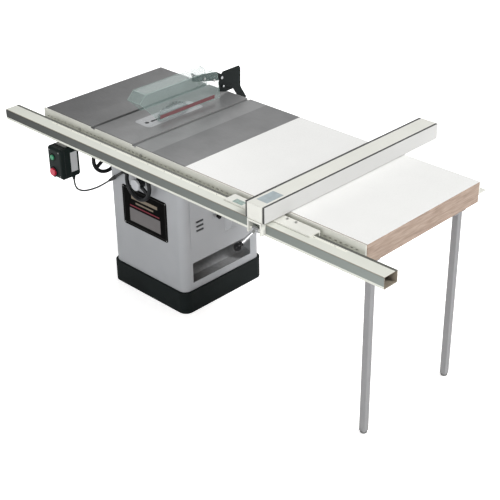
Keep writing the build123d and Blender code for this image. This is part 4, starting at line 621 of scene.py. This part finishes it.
def bevel_scale(m):
    """Curved scale with ticks and degrees beside the slot that the front shaft tilts along."""
    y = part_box("cabinet_shell")[0][1]
    pivot_z, r0, r1, thick = 0.864, 0.2705, 0.2865, 0.0011
    steps, a0, a1 = 40, radians(5), radians(54)
    bm = bmesh.new()
    rows = []
    for i in range(steps + 1):
        a = a0 + (a1 - a0) * i / steps
        section = ((r0, 0.0), (r0, thick), (r1, thick), (r1, 0.0))
        rows.append([bm.verts.new((r * sin(a), y - out, pivot_z - r * cos(a))) for r, out in section])
    join_rings(bm, rows)
    bm.faces.new(rows[0])
    bm.faces.new(reversed(rows[-1]))
    piece("bevel_scale", bm, m["insert"], "stand")

    ink = bmesh.new()
    start = atan2(0.030, 0.252)  # the front shaft's place around the tilt axis at rest
    tick_gap, half, number_in = 0.0008, 0.0005, 0.0035
    for degree in range(0, 46):
        a = start + radians(degree)
        long = 0.0095 if degree % 15 == 0 else 0.007 if degree % 5 == 0 else 0.0045
        across = Vector((cos(a), 0, sin(a)))
        out = Vector((sin(a), 0, -cos(a)))
        centre = Vector((0, y - thick, pivot_z))
        outline = ((r0 + tick_gap, -half), (r0 + long, -half), (r0 + long, half), (r0 + tick_gap, half))
        corners = [centre + out * r + across * side for r, side in outline]
        add_prism(ink, corners, [c + Vector((0, -0.0002, 0)) for c in corners])
    for degree in (0, 15, 30, 45):
        a = start + radians(degree)
        r = r1 - number_in
        spot = (sin(a) * r, y - 0.0012, pivot_z - cos(a) * r)
        add_number(ink, str(degree), 0.0055, spot, (cos(a), 0, sin(a)), (-sin(a), 0, cos(a)), 0.0003)
    piece("bevel_scale_marks", ink, m["ink"], "stand")


# ---------------------------------------------------------------- switch details
def switch_details(m):
    """Rings around the buttons, corner screws, a pale side strip and the lid's seam."""
    lo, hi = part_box("switch_box")
    y = lo[1]
    bm = bmesh.new()
    for button, height in (("start_button", 0.0022), ("stop_button", 0.0030)):
        b_lo, b_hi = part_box(button)
        r = (b_hi[2] - b_lo[2]) / 2
        middle = ((b_lo[0] + b_hi[0]) / 2, y + 0.0002, (b_lo[2] + b_hi[2]) / 2)
        add_ring(bm, r + 0.0007, r + 0.0050, height, middle, (0, -1, 0))
    piece("switch_bezels", bm, m["handle"], "stand")
    places = [(x, y, z) for x in (lo[0] + 0.011, hi[0] - 0.011) for z in (0.620, 0.735)]
    screw_set(("switch_screws", "switch_screw_marks"), m, "stand", places, (0, -1, 0), 0.0032, 0.0016)
    bm = bmesh.new()
    add_block(bm, (hi[0] - 0.0002, -0.444, 0.628), (hi[0] + 0.0006, -0.408, 0.722), 0.0003)
    piece("switch_side_strip", bm, m["side_strip"], "stand")
    bm = bmesh.new()
    seam_y, sunk, proud = y + 0.024, 0.0006, 0.0003
    for x0, x1 in ((lo[0] - proud, lo[0] + sunk), (hi[0] - sunk, hi[0] + proud)):
        add_block(bm, (x0, seam_y, 0.6135), (x1, seam_y + 0.0012, 0.7385), 0.0001)
    piece("switch_seam", bm, m["ink"], "stand")


# ---------------------------------------------------------------- rails, tube and table
def tube_scale(m):
    """Tape with a tick each centimetre and a number each decimetre, along the tube's upper back edge."""
    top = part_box("guide_tube")[1][2]
    bm = bmesh.new()
    x0, x1, y0, y1 = -0.330, 1.360, -0.4710, -0.4585
    add_block(bm, (x0, y0, top - 0.0001), (x1, y1, top + 0.00025), 0.0001)
    piece("scale_tape", bm, m["tape"], "stand")
    ink = bmesh.new()
    step, margin, half, edge = 0.010, 0.010, 0.0004, y1 - 0.0006
    for i in range(int((x1 - x0 - 2 * margin) / step) + 1):
        x = x0 + margin + step * i
        mark = round(x * 100)
        long = 0.0075 if mark % 10 == 0 else 0.0058 if mark % 5 == 0 else 0.0036
        add_block(ink, (x - half, edge - long, top + 0.0002), (x + half, edge, top + 0.00035), 0)
        if mark % 10 == 0:
            spot = (x + 0.0062, y0 + 0.0036, top + 0.0003)
            add_number(ink, str(abs(mark)), 0.0052, spot, (1, 0, 0), (0, 1, 0), 0.0002)
    piece("scale_ticks", ink, m["ink"], "stand")


def table_details(m):
    """Levelling screws in the throat insert."""
    bm, marks = bmesh.new(), bmesh.new()
    lo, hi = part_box("throat_plate")
    radius, z = 0.0036, hi[2]
    head = [(radius, -0.0002), (radius, 0.0002), (0.0030, 0.0003)]
    for x in (lo[0] + 0.012, hi[0] - 0.012):
        for y in (lo[1] + 0.030, hi[1] - 0.030):
            add_lathe(bm, head, (x, y, z), (0, 0, 1), 18)
            cross_marks(marks, (x, y, z), (0, 0, 1), radius, 0.0004)
    piece("insert_screws", bm, m["steel"], "stand")
    piece("insert_screw_marks", marks, m["ink"], "stand")


# ---------------------------------------------------------------- motor cover
def cover_details(m):
    """Turned latch knob, louvre hoods and hinge screws on the motor cover."""
    face = 0.2474  # the cover's outer face
    bm = bmesh.new()
    knob = [(0.008, 0), (0.008, 0.003), (0.0055, 0.004), (0.0055, 0.008), (0.0095, 0.010), (0.0105, 0.013),
            (0.0100, 0.016), (0.0070, 0.0175)]
    add_lathe(bm, knob, (0.2544, -0.037, 0.432), (1, 0, 0), 28)
    piece("cover_latch", bm, m["handle"], "cover")

    bm = bmesh.new()
    ends, out, thick, draw_in = (-0.164, -0.120), 0.0045, 0.0022, (0.002, -0.002)
    for i in range(3):
        z = 0.396 + 0.022 * i + 0.0068
        low = [bm.verts.new((face, y, z)) for y in ends]
        top = [bm.verts.new((face, y, z + thick)) for y in ends]
        lip = [bm.verts.new((face + out, y + d, z - 0.0050)) for y, d in zip(ends, draw_in)]
        lip_in = [bm.verts.new((face + out - 0.0010, y + d, z - 0.0054)) for y, d in zip(ends, draw_in)]
        bm.faces.new((top[0], top[1], lip[1], lip[0]))
        bm.faces.new((lip[0], lip[1], lip_in[1], lip_in[0]))
        bm.faces.new((lip_in[0], lip_in[1], low[1], low[0]))
        bm.faces.new((low[0], low[1], top[1], top[0]))
        bm.faces.new((top[0], lip[0], lip_in[0], low[0]))
        bm.faces.new((top[1], low[1], lip_in[1], lip[1]))
    # the hoods are near black: painted shade for the louvre slots
    piece("cover_louvre_hoods", bm, m["vent"], "cover")
    places = [(face, 0.192, z) for z in (0.406, 0.430, 0.686, 0.710)]
    screw_set(("hinge_screws", "hinge_screw_marks"), m, "cover", places, (1, 0, 0), 0.0034, 0.0016)


# ---------------------------------------------------------------- blade, guard and fence
def blade_tips(m):
    """Carbide tips, one on each tooth."""
    bm = bmesh.new()
    centre, blade_r, teeth, half = Vector((0, -0.050, 0.787)), 0.127, 40, 0.0016
    outline = ((-0.0002, 0.0), (0.0024, 0.0008), (0.0022, 0.0075), (-0.0004, 0.0072))
    for i in range(teeth):
        a = radians(360 / teeth * i)
        out = Vector((0, cos(a), sin(a)))
        along = Vector((0, -sin(a), cos(a)))
        top = centre + out * (blade_r + 0.0002)
        left, right = ([top + along * back - out * down + Vector((x, 0, 0)) for back, down in outline]
                       for x in (-half, half))
        add_prism(bm, left, right)
    piece("blade_tips", bm, m["carbide"], "arbor")


# outline of the guard's sides, from the front upper corner
GUARD_LINE = ((-0.270, 0.980), (-0.235, 1.013), (0.162, 1.013), (0.191, 0.988), (0.204, 0.872),
              (-0.169, 0.872), (-0.183, 0.890))
GUARD_HALF = 0.0405


def guard_details(m):
    """Red strip on the guard's right lower edge, its rims, which are the sheet's edges drawn paler and less
    clear than the sheet as a painted sheen, and the rivets of its arms.
    """
    bm = bmesh.new()
    add_block(bm, (0.0401, -0.160, 0.878), (0.0409, 0.170, 0.895), 0.0001)
    piece("guard_strip", bm, m["stripe"], "guard")
    # painted highlight: the rims are the sheet's edges, drawn paler and denser than the sheet for their sheen
    rim = bmesh.new()
    left_line = ((-0.194, 0.908), *GUARD_LINE[:4], (0.1999, 0.908), (-0.194, 0.908))
    left = [(-GUARD_HALF, y, z) for y, z in left_line]
    right = [(GUARD_HALF, y, z) for y, z in (*GUARD_LINE, GUARD_LINE[0])]
    add_rod(rim, left, 0.0009, 6)
    add_rod(rim, right, 0.0009, 6)
    for y, z in GUARD_LINE[:4]:
        add_rod(rim, [(-GUARD_HALF, y, z), (GUARD_HALF, y, z)], 0.0008, 6)
    piece("guard_rims", rim, m["rim"], "guard")
    bm = bmesh.new()
    rivet = [(0.0062, 0), (0.0062, 0.0016), (0.0040, 0.0026)]
    for y, z in ((0.112, 0.986), (0.170, 0.964)):
        for side in (-1, 1):
            add_lathe(bm, rivet, (side * 0.041, y, z), (side, 0, 0), 20)
    piece("guard_rivets", bm, m["zinc"], "guard")


def fence_details(m):
    """Dark edges of the fence's face boards, the pale plate on its front end and the cursor."""
    lo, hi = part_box("fence_faces")
    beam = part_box("fence_beam")
    top, sunk, proud = hi[2], 0.0002, 0.0005
    bm = bmesh.new()
    for x0, x1 in ((lo[0], beam[0][0]), (beam[1][0], hi[0])):
        x0, x1 = x0 + sunk, x1 - sunk
        add_block(bm, (x0, lo[1], top - sunk), (x1, hi[1], top + proud), 0.0002)
        add_block(bm, (x0, lo[1] - proud, lo[2]), (x1, lo[1] + sunk, top), 0.0002)
    piece("fence_board_edges", bm, m["board_edge"], "fence")
    bm = bmesh.new()
    add_block(bm, (0.954, -0.502, beam[1][2] - sunk), (1.008, -0.412, beam[1][2] + 0.0004), 0.0002)
    piece("fence_top_plate", bm, m["blue_plate"], "fence")
    # cursor: a clear leaf with a hair line over the scale, held by two screws on the head
    leaf_low, leaf_top = 0.8597, 0.8617
    line_low, line_top = leaf_top - 0.0001, leaf_top + 0.0002
    bm = bmesh.new()
    add_block(bm, (0.8000, -0.4750, leaf_low), (0.8500, -0.4490, leaf_top), 0.0005)
    piece("cursor_leaf", bm, m["rim"], "fence")
    bm = bmesh.new()
    add_block(bm, (0.8246, -0.4740, line_low), (0.8252, -0.4500, line_top), 0)
    piece("cursor_line", bm, m["stripe"], "fence")
    places = [(x, -0.462, line_low) for x in (0.8055, 0.8445)]
    screw_set(("fence_small_screws", "fence_screw_marks"), m, "fence", places, (0, 0, 1), 0.0034, 0.0018)


def main():
    """Studio, materials, then the pieces."""
    make_camera()
    make_studio()
    m = make_materials()
    dress_nodes(m)
    make_cord(m)
    cabinet_details(m)
    bevel_scale(m)
    switch_details(m)
    tube_scale(m)
    table_details(m)
    cover_details(m)
    blade_tips(m)
    guard_details(m)
    fence_details(m)


main()
